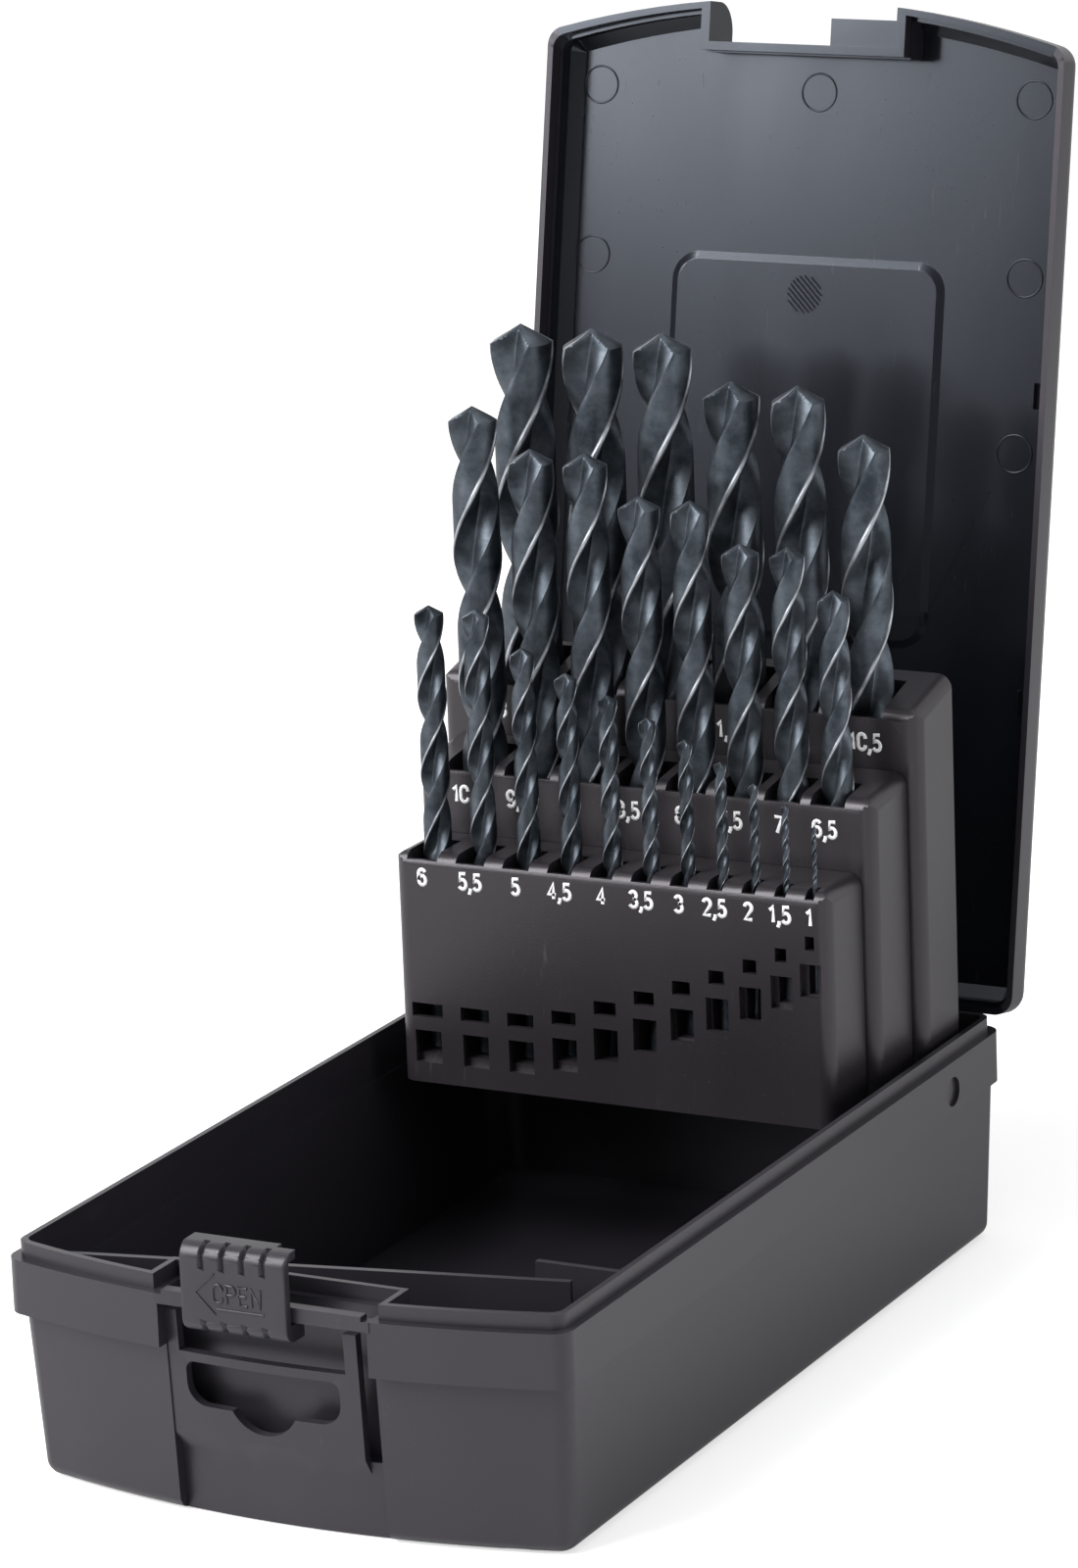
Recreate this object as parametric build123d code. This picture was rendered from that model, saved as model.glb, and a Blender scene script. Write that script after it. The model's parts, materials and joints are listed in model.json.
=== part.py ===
"""Plastic drill bit case: tub, hinged lid, sliding latch, three stepped holder blocks and twist drills.

Millimetres. X runs along the hinge, Y from the latch (-) to the hinge (+), Z up.
The origin is the middle of the tub's underside. The case stands open, with the holder upright.
"""
import os
from math import cos, pi, radians, sin, sqrt, tan

from build123d import *

# ---- case, overall
CASE_WIDTH = 118.0
CASE_LENGTH = 198.5  # from the front corners to the rear wall
FRONT_BOW = 8.4  # how far the front swells past its corners
CORNER_RADIUS = 4.0

# ---- tub
RIM_Z = 44.5  # top of the collar, where the lid lands
COLLAR_HEIGHT = 10.7
SIDE_STEP = 1.4  # collar proud of the wall below it
FRONT_STEP = 2.6
SIDE_DRAFT = 1.4  # how far the lower wall leans in at the floor
FRONT_DRAFT = 2.2
REAR_DRAFT = 0.6
BASE_ROUND = 3.0
WALL = 2.0
FLOOR = 1.8
COLLAR_WALL = 2.8
LIP_HEIGHT = 3.0
LIP_WALL = 1.2
LIP_STEP = 1.6  # ledge between the collar's face and the lip
INNER_STEP_RISE = 4.0  # inner ledge above the collar's lower edge
OVERLAP = 0.5  # how far joined shapes run into each other

# ---- latch recess, rail and hang tab
RECESS_HALF = 22.0
RECESS_BACK = 1.5  # recess wall behind the front corners
POCKET_BOTTOM = 15.0
PANEL_STEP = 2.3
TAB_STEP = 0.3  # the tab stands nearly flush with the front wall
TAB_PLATE = 2.0
TAB_FOOT = 12.5  # where the tab grows out of the panel
TAB_SLOPE = 3.5  # height over which it does
TAB_TOP = 32.8
EAR_TOP = 40.8
EAR_WIDTH = 2.6
TAB_GAP = 3.6  # slit between the hang tab and the right-hand wall
HANG_SLOT_X = -1.95
HANG_SLOT_LOW = 22.3
HANG_SLOT_LENGTH = 32.5
HANG_SLOT_HEIGHT = 8.7
HANG_SLOT_ROUND = 2.0  # of the upper corners
HANG_SLOT_SWEEP = 4.2  # of the lower corners
HANG_DIP_RADIUS = 7.5
HANG_DIP_DEPTH = 4.0  # of the round dip below the slot
RAIL_FRONT = -7.4  # from the front corners
RAIL_DEPTH = 2.4
RAIL_Z = 42.5
RAIL_HEIGHT = 2.9

# ---- latch slider
LATCH_WIDTH = 22.2
LATCH_LEFT = -15.4
LATCH_GAP = 0.4
LATCH_WALL = 2.0
LATCH_DEPTH = 6.6
LATCH_BOTTOM = 38.6
LATCH_HEAD = 1.7  # thickness over the lid's catch
LATCH_ROUND = 3.0
LATCH_FOOT_FLANGE = 1.6  # how far the foot rises behind the rail
LATCH_LEAD_IN = 3.9
GRIP_COUNT = 4
GRIP_PITCH = 4.3
GRIP_WIDTH = 1.4
GRIP_DEPTH = 0.8
GRIP_LENGTH = 4.6  # down the front face
GRIP_REACH = 3.4  # over the top and under the bottom

# ---- lid
LID_DEPTH = 11.7
LID_GAP = 0.3
LID_WALL = 2.2
LID_EDGE_ROUND = 6.5
LID_INNER_BEVEL = 2.5
LID_OPEN_DEG = 100.7
NOTCH_HALF = 21.3
NOTCH_BACK = 1.0
LIP_CLEARANCE = 0.3
CATCH_LEFT = 3.2
CATCH_FRONT = -4.8
CATCH_DROP = 2.4  # its top below the lid's
CATCH_THICKNESS = 1.7
PANEL_HALF = 30.2  # raised inside panel, which is the label recess outside
PANEL_REAR = 77.0  # from the hinge axis
PANEL_FRONT = 155.0
PANEL_DEPTH = 0.8
PANEL_CORNER = 5.0
LABEL_MARGIN = 1.0  # the outside recess is this much smaller all round
SNAP_SLOT = dict(along=130.0, length=5.4, width=1.5, depth=1.6)  # blind, beside each side wall
SIDE_RIB = dict(along=66.6, length=5.0, width=0.8, height=0.9)
# hooks moulded inside the lid: outer end, place from the hinge axis
LID_HOOKS = [(31.1, 83.7), (26.8, 92.5)]
HOOK_LENGTH = 9.0
HOOK_WALL = 0.9
HOOK_HEIGHT = 0.9  # the folded holder lies just below
HOOK_RETURN = 3.0

# ---- hinge
HINGE_SETBACK = 2.5  # axis behind the rear wall
HINGE_Z = 43.2
HINGE_RADIUS = 2.1
HINGE_STUB_RADIUS = 1.25
HINGE_FIT = 0.05
HINGE_STATION_X = 34.0
HINGE_BARREL = 13.0
HINGE_EYE = 3.0
HINGE_SIDE_GAP = 0.3
HINGE_ARM_RISE = 5.0  # height of the arm's root on the lid's rear wall

# ---- drill holder
PIVOT_IN_BLOCK = 2.0  # behind the rear block's front face
PIVOT_Z = 38.2
PIVOT_HOLE_RADIUS = 3.05
PIVOT_FIT = 0.06
TRUNNION_ROOT = 3.0  # length of each trunnion inside the block
TRUNNION_INSET = 0.8  # its end behind the tub's outer face
TRUNNION_FOOT = 1.0  # plastic under the trunnions
BLOCK_BOTTOM = 39.5
BLOCK_GAP = 0.3
BLOCK_ROUND = 3.0
POCKET_PLAY = 1.0
POCKET_BACK_PLAY = 0.4
POCKET_FRONT_WALL = 1.2
POCKET_FLOOR = 2.0
NOTCH_DEPTH = 1.6
CORE_FRONT_WALL = 2.2  # around the hollows under the pockets
CORE_BACK_WALL = 2.0
CORE_MIN_HEIGHT = 3.0
KEY_HALF = 2.0  # square keys between the blocks
KEY_X = 30.0

# ---- inspection windows in the front block
WINDOW_LOWEST = 47.2
WINDOW_HIGHEST = 70.1
WINDOW_FALL = 6.1  # for each millimetre of drill diameter
WINDOW_HALF_HEIGHT = 3.4
WINDOW_WIDTH = 4.3
WINDOW_WIDENING = 0.28  # for each millimetre of drill diameter
UPPER_WINDOW = (6.3, 9.2)  # above the middle of the lower one

# ---- ribs inside the tub
STOP_RIB_TOP = 43.5
STOP_RIB_WALL = 1.4
SLANT_RIB_LEFT = (7.8, 9.0)  # from the left side and from the front corners
SLANT_RIB_RIGHT = (13.7, 28.9)  # from the right side and from the front corners
SHORT_RIB = (25.0, 37.0)  # from the right side and from the front corners

# ---- twist drills
HELIX_DEG = 30.0
POINT_DEG = 118.0
SHANK_SIDES = 12  # flat facets all over keep the twenty-five drills light
FLUTE_STEP_DEG = 60.0
LAND_HALF_DEG = 38.0
FLUTE_HEEL_DEG = 60.0
FLUTE_FLOOR_DEG = 90.0
WEB_SHARE = 0.30  # core of the flutes, of the diameter
HEEL_SHARE = 0.45
BODY_RELIEF = 0.01  # fluted part under the shank's radius
TIP_START = 100.9  # height of the smallest drill's tip
TIP_SLOPE = 7.45  # rise of the next ones, for each millimetre of diameter

# standard jobber drills: diameter, length over all, flute length
DRILLS = [
    (1.0, 34, 12), (1.5, 40, 18), (2.0, 49, 24), (2.5, 57, 30), (3.0, 61, 33),
    (3.5, 70, 39), (4.0, 75, 43), (4.5, 80, 47), (5.0, 86, 52), (5.5, 93, 57),
    (6.0, 93, 57), (6.5, 101, 63), (7.0, 109, 69), (7.5, 109, 69), (8.0, 117, 75),
    (8.5, 117, 75), (9.0, 125, 81), (9.5, 125, 81), (10.0, 133, 87), (10.5, 133, 87),
    (11.0, 142, 94), (11.5, 142, 94), (12.0, 151, 101), (12.5, 151, 101), (13.0, 151, 101),
]

# each block: depth, how far it stands in from the case's sides, height, rise of the top towards the
# back, how many drills it takes (the smallest go to the front), the plastic outside the outer ones,
# their seat, and the depth of the drill axes behind the face
HOLDER_REACH = 61.0  # its face, from the rear wall
BLOCKS = {
    "front": dict(
        depth=16.2, inset=10.4, top=88.3, rise=0.0,
        drills=11, left=3.5, right=3.7, seat=45.3, axis_base=2.5, axis_share=0.85,
    ),
    "middle": dict(
        depth=16.7, inset=7.8, top=102.9, rise=2.2,
        drills=8, left=7.3, right=6.7, seat=43.3, axis_base=2.2, axis_share=0.5,
    ),
    "rear": dict(
        depth=16.6, inset=5.0, top=117.1, rise=4.4,
        drills=6, left=11.0, right=8.5, seat=39.0, axis_base=1.7, axis_share=0.5,
    ),
}
KEY_HEIGHTS = {"front": (50.0, 80.0), "middle": (50.0, 94.0)}

# ---- values worked out from the sizes above
HALF = CASE_WIDTH / 2
FRONT = -CASE_LENGTH / 2
REAR = CASE_LENGTH / 2
COLLAR_Z = RIM_Z - COLLAR_HEIGHT
LIP_TOP = RIM_Z + LIP_HEIGHT
LID_RIM = RIM_Z + LID_GAP
LID_TOP = RIM_Z + LID_DEPTH
HINGE_Y = REAR + HINGE_SETBACK
CATCH_TOP = LID_TOP - CATCH_DROP
LATCH_TOP = CATCH_TOP + LATCH_GAP + LATCH_HEAD
BLOCKS_AHEAD = BLOCKS["front"]["depth"] + BLOCKS["middle"]["depth"] + 2 * BLOCK_GAP
PIVOT_Y = REAR - HOLDER_REACH + BLOCKS_AHEAD + PIVOT_IN_BLOCK
SMALLEST = DRILLS[0][0]  # diameter
INNER_STEP_Z = COLLAR_Z + INNER_STEP_RISE
LID_FLOOR = LID_TOP - LID_WALL  # inner face of the lid as it lies closed
FAR = 300.0  # longer than anything in the case, for cutting tools


def plan(half, front, rear, bow, radius):
    """Outline of the case seen from above: straight sides and rear, and a bowed front."""
    left, right = (-half, front), (half, front)
    outline = [
        ThreePointArc(left, (0, front - bow), right),
        Line(right, (half, rear)),
        Line((half, rear), (-half, rear)),
        Line((-half, rear), left),
    ]
    face = make_face(outline)
    return fillet(face.vertices(), radius)


def block_between(x, y, z):
    """A box given by its low and high limit along each axis."""
    size = [high - low for low, high in (x, y, z)]
    middle = [(high + low) / 2 for low, high in (x, y, z)]
    return Pos(*middle) * Box(*size)


def rod_along_x(x, y, z, radius):
    """A round bar along X between two limits."""
    length = x[1] - x[0]
    return Pos((x[0] + x[1]) / 2, y, z) * Rot(0, 90, 0) * Cylinder(radius, length)


def collar_plan(inset):
    """Outline of the collar, moved in from its outside by inset."""
    radius = max(CORNER_RADIUS - inset / 2, 0.5)
    return plan(HALF - inset, FRONT + inset, REAR - inset, FRONT_BOW, radius)


def upright(face, low, high):
    """A straight wall of the face's outline between two heights."""
    return Pos(0, 0, low) * extrude(face, high - low)


def bow_radius(half):
    """Radius of the bowed front over a half width."""
    return (half**2 + FRONT_BOW**2) / (2 * FRONT_BOW)


def front_line(z):
    """How far back the drafted front wall's corners stand at a height."""
    return FRONT + FRONT_STEP + FRONT_DRAFT * (1 - z / COLLAR_Z)


def bowed_front(low, rise, foot_y, lean, inset=0.0):
    """A solid with the front wall's bow and draft, its corners starting at foot_y and leaning further
    forward than the wall by lean over its height."""
    radius = bow_radius(HALF - SIDE_STEP - inset)
    cone = Cone(radius, radius + FRONT_DRAFT * rise / COLLAR_Z + lean, rise)
    return Pos(0, foot_y - FRONT_BOW + radius, low + rise / 2) * cone


def lower_body(top_z, inset=0.0, bottom_z=0.0):
    """The drafted lower part of the tub as a full solid: flat leaning sides and rear, bowed front."""
    half = {z: HALF - SIDE_STEP - SIDE_DRAFT * (1 - z / COLLAR_Z) - inset for z in (bottom_z, top_z)}
    rear = {z: REAR - REAR_DRAFT * (1 - z / COLLAR_Z) - inset for z in (bottom_z, top_z)}
    front_view = Polyline(
        (-half[bottom_z], bottom_z), (half[bottom_z], bottom_z),
        (half[top_z], top_z), (-half[top_z], top_z), close=True,
    )
    side_view = Polyline(
        (-FAR, bottom_z), (rear[bottom_z], bottom_z), (rear[top_z], top_z), (-FAR, top_z), close=True
    )
    sides = extrude(Plane.XZ * make_face(front_view), FAR, both=True)
    rear_wall = extrude(Plane.YZ * make_face(side_view), FAR, both=True)

    rise = top_z - bottom_z
    body = bowed_front(bottom_z, rise, front_line(bottom_z) + inset, 0.0, inset) & sides & rear_wall
    upright_edges = [edge for edge in body.edges() if abs(edge.tangent_at(0).Z) > 0.9]
    return fillet(upright_edges, max(CORNER_RADIUS - inset / 2, OVERLAP))


def rounded_lower_body():
    body = lower_body(COLLAR_Z + OVERLAP)
    floor_edges = body.edges().group_by(Axis.Z)[0]
    return fillet(floor_edges, BASE_ROUND)


def hang_slot():
    """The display-hook slot: a wide slot with a round dip in its lower edge, cut along Y."""
    middle = HANG_SLOT_LOW + HANG_SLOT_HEIGHT / 2
    wide = Pos(HANG_SLOT_X, middle) * Rectangle(HANG_SLOT_LENGTH, HANG_SLOT_HEIGHT)
    wide = fillet(wide.vertices().group_by(Axis.Y)[-1], HANG_SLOT_ROUND)
    wide = fillet(wide.vertices().group_by(Axis.Y)[0], HANG_SLOT_SWEEP)
    dip = Pos(HANG_SLOT_X, HANG_SLOT_LOW - HANG_DIP_DEPTH + HANG_DIP_RADIUS) * Circle(HANG_DIP_RADIUS)
    dip &= Pos(HANG_SLOT_X, HANG_SLOT_LOW) * Rectangle(HANG_SLOT_LENGTH, HANG_SLOT_HEIGHT)
    return Plane.XZ.offset(-FAR / 2) * extrude(wide + dip, FAR)


def hang_tab():
    """The plate in front of the pocket, with its two ears and the hook slot."""
    outside = Pos(0, TAB_STEP, 0) * lower_body(EAR_TOP)
    inside = Pos(0, TAB_STEP + TAB_PLATE, 0) * lower_body(EAR_TOP)
    right = RECESS_HALF - TAB_GAP
    strip = block_between((-RECESS_HALF, right), (-FAR, 0), (TAB_FOOT, EAR_TOP))
    foot = block_between((-FAR, FAR), (-FAR, FAR), (TAB_FOOT, TAB_FOOT + TAB_SLOPE))
    slope = bowed_front(TAB_FOOT, TAB_SLOPE, front_line(TAB_FOOT) + PANEL_STEP, PANEL_STEP - TAB_STEP)
    plate = (outside & strip) - inside - (foot - slope)
    window = block_between(
        (-RECESS_HALF + EAR_WIDTH, right - EAR_WIDTH), (-FAR, 0), (TAB_TOP, FAR)
    )
    return plate - window - hang_slot()


def hinge_eyes():
    """Two pairs of eyes on the tub's rear wall."""
    eyes = []
    for side in (-1, 1):
        for end in (-1, 1):
            middle = side * HINGE_STATION_X + end * (HINGE_BARREL + HINGE_EYE + 2 * HINGE_SIDE_GAP) / 2
            x = (middle - HINGE_EYE / 2, middle + HINGE_EYE / 2)
            eye = rod_along_x(x, HINGE_Y, HINGE_Z, HINGE_RADIUS)
            web = block_between(x, (REAR - OVERLAP, HINGE_Y), (HINGE_Z - HINGE_RADIUS, HINGE_Z))
            eyes.append(eye + web)
    bore = rod_along_x((-HALF, HALF), HINGE_Y, HINGE_Z, HINGE_STUB_RADIUS + HINGE_FIT)
    return [eye - bore for eye in eyes]


def stop_ribs():
    """The slanted rib that follows the folded drill tips, and the short rib beside it."""
    start = (SLANT_RIB_LEFT[0] - HALF, FRONT + SLANT_RIB_LEFT[1])
    end = (HALF - SLANT_RIB_RIGHT[0], FRONT + SLANT_RIB_RIGHT[1])
    short_y = FRONT + SHORT_RIB[1]
    lines = [Line(start, end), Line((HALF - SHORT_RIB[0], short_y), (HALF - WALL, short_y))]
    return [upright(trace(line, STOP_RIB_WALL), FLOOR / 2, STOP_RIB_TOP) for line in lines]


def rail():
    """The latch's rail across the recess; its top stays clear of the lid beside the notch."""
    y = (FRONT + RAIL_FRONT, FRONT + RAIL_FRONT + RAIL_DEPTH)
    end = RECESS_HALF + OVERLAP
    top_end = NOTCH_HALF - LATCH_GAP
    foot = block_between((-end, end), y, (RAIL_Z, RIM_Z))
    return foot + block_between((-top_end, top_end), y, (RAIL_Z, RAIL_Z + RAIL_HEIGHT))


def tub():
    outer = rounded_lower_body()
    outer += upright(collar_plan(0), COLLAR_Z, RIM_Z)
    outer += upright(collar_plan(LIP_STEP), RIM_Z - OVERLAP, LIP_TOP)

    cavity = lower_body(INNER_STEP_Z, WALL, FLOOR)
    cavity += upright(collar_plan(COLLAR_WALL), INNER_STEP_Z, LIP_TOP + 1)

    recess_wall = RECESS_HALF + LIP_STEP + LIP_WALL
    recess_inner = RECESS_BACK + LIP_STEP + LIP_WALL
    keep = block_between((-recess_wall, recess_wall), (-FAR, FRONT + recess_inner), (0, LIP_TOP))
    body = outer - (cavity - keep)

    step = RECESS_HALF + LIP_STEP
    body -= block_between((-step, step), (-FAR, FRONT + RECESS_BACK + LIP_STEP), (RIM_Z, FAR))
    recess = block_between((-RECESS_HALF, RECESS_HALF), (-FAR, FRONT + RECESS_BACK), (-1, FAR))
    panel = Pos(0, PANEL_STEP, 0) * lower_body(RIM_Z + 1)
    body -= recess - panel
    body -= block_between((-RECESS_HALF, RECESS_HALF), (-FAR, FRONT + RECESS_BACK), (POCKET_BOTTOM, FAR))

    body += hang_tab()
    body += rail()
    inside = lower_body(STOP_RIB_TOP, WALL - OVERLAP)
    for rib in stop_ribs():
        body += rib & inside
    body -= rod_along_x((-FAR, FAR), PIVOT_Y, PIVOT_Z, PIVOT_HOLE_RADIUS)
    for eye in hinge_eyes():
        body += eye
    return body


def lid_shell():
    """The lid as it lies on the tub: a shallow tray with a round outer edge."""
    full = upright(collar_plan(0), LID_RIM, LID_TOP)
    full = fillet(full.edges().group_by(Axis.Z)[-1], LID_EDGE_ROUND)
    hollow = upright(collar_plan(LID_WALL), LID_RIM - 1, LID_FLOOR)
    hollow = chamfer(hollow.edges().group_by(Axis.Z)[-1], LID_INNER_BEVEL)

    wall_half = NOTCH_HALF + LID_WALL
    notch_wall = block_between((-wall_half, wall_half), (-FAR, FRONT + NOTCH_BACK + LID_WALL), (0, FAR))
    notch = block_between((-NOTCH_HALF, NOTCH_HALF), (-FAR, FRONT + NOTCH_BACK), (0, FAR))
    catch = block_between(
        (CATCH_LEFT, NOTCH_HALF + OVERLAP), (FRONT + CATCH_FRONT, FRONT + NOTCH_BACK + OVERLAP),
        (CATCH_TOP - CATCH_THICKNESS, CATCH_TOP),
    )
    return full - (hollow - notch_wall) - notch + catch - lip_room()


def lip_room():
    """The rebate inside the lid's rim that takes the tub's lip."""
    room = upright(collar_plan(LIP_STEP - LIP_CLEARANCE), LID_RIM - 1, LIP_TOP + LIP_CLEARANCE)
    half = RECESS_HALF + LIP_STEP - LIP_CLEARANCE
    front = FRONT + RECESS_BACK + LIP_STEP - LIP_CLEARANCE
    return room - block_between((-half, half), (-FAR, front), (0, FAR))


def lid_panel(margin, low, high):
    """The rounded panel in the middle of the lid, between two heights of the closed lid."""
    length = PANEL_FRONT - PANEL_REAR
    outline = RectangleRounded(2 * (PANEL_HALF - margin), length - 2 * margin, PANEL_CORNER)
    return Pos(0, HINGE_Y - (PANEL_FRONT + PANEL_REAR) / 2, 0) * upright(outline, low, high)


def lid_hooks():
    """Two L-shaped hooks on the lid's inner face, each with its mirror image."""
    low, high = LID_FLOOR - HOOK_HEIGHT, LID_FLOOR + OVERLAP
    hooks = []
    for end, along in LID_HOOKS:
        y = HINGE_Y - along
        for side in (-1, 1):
            bar = sorted((side * end, side * (end - HOOK_LENGTH)))
            tip = sorted((side * end, side * (end - HOOK_WALL)))
            hooks.append(block_between(bar, (y, y + HOOK_WALL), (low, high)))
            hooks.append(block_between(tip, (y, y + HOOK_RETURN), (low, high)))
    return hooks


def side_details():
    """Beside each side wall: the place and size of the snap slot and of the small rib."""
    for side in (-1, 1):
        edge = HALF - LID_EDGE_ROUND
        slot_y, rib_y = HINGE_Y - SNAP_SLOT["along"], HINGE_Y - SIDE_RIB["along"]
        slot = block_between(
            sorted((side * edge, side * (edge + SNAP_SLOT["width"]))),
            (slot_y - SNAP_SLOT["length"] / 2, slot_y + SNAP_SLOT["length"] / 2),
            (LID_FLOOR - 1, LID_FLOOR + SNAP_SLOT["depth"]),
        )
        rib = block_between(
            sorted((side * edge, side * (edge + SIDE_RIB["width"]))),
            (rib_y - SIDE_RIB["length"] / 2, rib_y + SIDE_RIB["length"] / 2),
            (LID_FLOOR - SIDE_RIB["height"], LID_FLOOR + OVERLAP),
        )
        yield slot, rib


def lid_closed():
    shell = lid_shell()
    shell += lid_panel(0, LID_FLOOR - PANEL_DEPTH, LID_FLOOR + OVERLAP)
    shell -= lid_panel(LABEL_MARGIN, LID_TOP - PANEL_DEPTH, LID_TOP + 1)
    for slot, rib in side_details():
        shell = shell - slot + rib
    for hook in lid_hooks():
        shell += hook
    for side in (-1, 1):
        shell += hinge_barrel(side * HINGE_STATION_X)
    return shell


def hinge_barrel(x):
    """The lid's half of one hinge: a barrel on an arm, with a stub at each end."""
    half = HINGE_BARREL / 2
    barrel = rod_along_x((x - half, x + half), HINGE_Y, HINGE_Z, HINGE_RADIUS)
    reach = half + HINGE_SIDE_GAP + HINGE_EYE
    stubs = rod_along_x((x - reach, x + reach), HINGE_Y, HINGE_Z, HINGE_STUB_RADIUS)
    arm_points = [
        (REAR - OVERLAP, LID_RIM + HINGE_SIDE_GAP),
        (HINGE_Y, HINGE_Z),
        (HINGE_Y + HINGE_RADIUS, HINGE_Z),
        (REAR - OVERLAP, LID_RIM + HINGE_ARM_RISE),
    ]
    arm_face = make_face(Polyline(*arm_points, close=True))
    arm = Plane.YZ.offset(x - half) * extrude(arm_face, HINGE_BARREL)
    return barrel + stubs + arm


def lid():
    hinge = Axis((0, HINGE_Y, HINGE_Z), (-1, 0, 0))
    return lid_closed().rotate(hinge, LID_OPEN_DEG)


def latch_slider():
    """A C-shaped slider: its foot wraps the rail and its head reaches over the lid's catch."""
    front = FRONT + RAIL_FRONT - LATCH_GAP - LATCH_WALL
    back = front + LATCH_DEPTH
    left, right = LATCH_LEFT, LATCH_LEFT + LATCH_WIDTH
    body = block_between((left, right), (front, back), (LATCH_BOTTOM, LATCH_TOP))
    front_edges = body.edges().filter_by(Axis.X).group_by(Axis.Y)[0]
    body = fillet(front_edges, LATCH_ROUND)
    hollow_front = front + LATCH_WALL
    rail_low = RAIL_Z - LATCH_GAP
    rail_back = FRONT + RAIL_FRONT + RAIL_DEPTH + LATCH_GAP
    head_low = CATCH_TOP + LATCH_GAP
    body -= block_between((left - 1, right + 1), (hollow_front, rail_back), (rail_low, head_low))
    body -= block_between(
        (left - 1, right + 1), (hollow_front, back + 1), (RAIL_Z + LATCH_FOOT_FLANGE, head_low)
    )
    lead_in_front = FRONT + CATCH_FRONT - LATCH_GAP
    body -= block_between((right - LATCH_LEAD_IN, right + 1), (lead_in_front, back + 1), (LID_RIM, FAR))
    for number in range(GRIP_COUNT):
        x = (left + right) / 2 + (number - (GRIP_COUNT - 1) / 2) * GRIP_PITCH
        body -= grip_groove(x, front, LATCH_TOP, -1, GRIP_LENGTH)
        body -= grip_groove(x, front, LATCH_BOTTOM, 1, LATCH_ROUND)
    return body


def grip_groove(x, front, edge_z, inward, length):
    """A V-shaped finger groove that runs over the slider's rounded edge at edge_z."""
    corner = LATCH_ROUND * (2 - sqrt(2))
    path = [
        (front, edge_z + inward * length), (front, edge_z + inward * corner),
        (front + corner, edge_z), (front + GRIP_REACH, edge_z),
    ]
    half = GRIP_WIDTH / 2
    section = make_face(Polyline((-half, 0), (half, 0), (0, -inward * GRIP_DEPTH), close=True))
    groove = []
    for (y, z), (next_y, next_z) in zip(path, path[1:]):
        run = Vector(0, next_y - y, next_z - z)
        start = Plane(origin=(x, y, z), x_dir=(1, 0, 0), z_dir=run)
        groove.append(start * extrude(section, run.length))
    return groove


def drill_name(diameter):
    return f"drill_{diameter:04.1f}mm".replace(".", "_")


def block_faces():
    """The front and back of each block, one behind the other."""
    faces = {}
    y = REAR - HOLDER_REACH
    for name, block in BLOCKS.items():
        faces[name] = (y, y + block["depth"])
        y += block["depth"] + BLOCK_GAP
    return faces


def drill_places():
    """Every drill, its block and the foot of its axis, spread over the block's width."""
    places = []
    left_over = list(DRILLS)
    for name, block in BLOCKS.items():
        row, left_over = left_over[: block["drills"]], left_over[block["drills"]:]
        half = HALF - block["inset"]
        plastic = 2 * half - block["left"] - block["right"] - sum(drill[0] for drill in row)
        edge = block["left"] - half
        for diameter, length, flute in reversed(row):
            y = block_faces()[name][0] + block["axis_base"] + block["axis_share"] * diameter
            seat = block["seat"]
            if name == "front":
                seat = max(seat, TIP_START + TIP_SLOPE * (diameter - SMALLEST) - length)
            places.append(((diameter, length, flute), name, edge + diameter / 2, y, seat))
            edge += diameter + plastic / (len(row) - 1)
    return places


def window_height(diameter):
    """Middle of the inspection window at a drill's foot in the front block."""
    return max(WINDOW_LOWEST, WINDOW_HIGHEST - WINDOW_FALL * (diameter - SMALLEST))


def block_body(name):
    """A block without its pockets: sloping top, rounded front corners and top edge."""
    block = BLOCKS[name]
    face, back = block_faces()[name]
    half, top = HALF - block["inset"], block["top"]
    bottom = block_bottom(name)
    side = Polyline(
        (face, bottom), (back, bottom), (back, top + block["rise"]), (face, top), close=True
    )
    body = Plane.YZ.offset(-half) * extrude(make_face(side), 2 * half)
    round_edges = body.edges().filter_by(Axis.Z).group_by(Axis.Y)[0]
    top_edges = [e for e in body.edges().filter_by(Axis.X) if abs(e.center().Z - top) < 0.01]
    round_edges += ShapeList(top_edges).sort_by(Axis.Y)[:1]
    return fillet(round_edges, BLOCK_ROUND)


def block_bottom(name):
    """The rear block reaches down to carry the trunnions."""
    if name == "rear":
        return PIVOT_Z - PIVOT_HOLE_RADIUS - TRUNNION_FOOT
    return BLOCK_BOTTOM


def holder_block(name):
    """One block, with a square pocket, an edge notch and a hollow underneath for each drill."""
    body = block_body(name)
    face, back = block_faces()[name]
    top, bottom = BLOCKS[name]["top"], block_bottom(name)
    for (diameter, _, _), owner, x, y, seat in drill_places():
        if owner != name:
            continue
        half_side = (diameter + POCKET_PLAY) / 2
        pocket_x = (x - half_side, x + half_side)
        pocket_back = y + diameter / 2 + POCKET_BACK_PLAY
        body -= block_between(pocket_x, (face + POCKET_FRONT_WALL, pocket_back), (seat, FAR))
        body -= block_between(pocket_x, (face - 1, pocket_back), (top - NOTCH_DEPTH, FAR))
        under = seat - POCKET_FLOOR
        if under - bottom > CORE_MIN_HEIGHT:
            core_y = (face + CORE_FRONT_WALL, back - CORE_BACK_WALL)
            body -= block_between(pocket_x, core_y, (bottom - 1, under))
        if name == "front":
            body = cut_windows(body, diameter, x, face)
    return body


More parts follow.
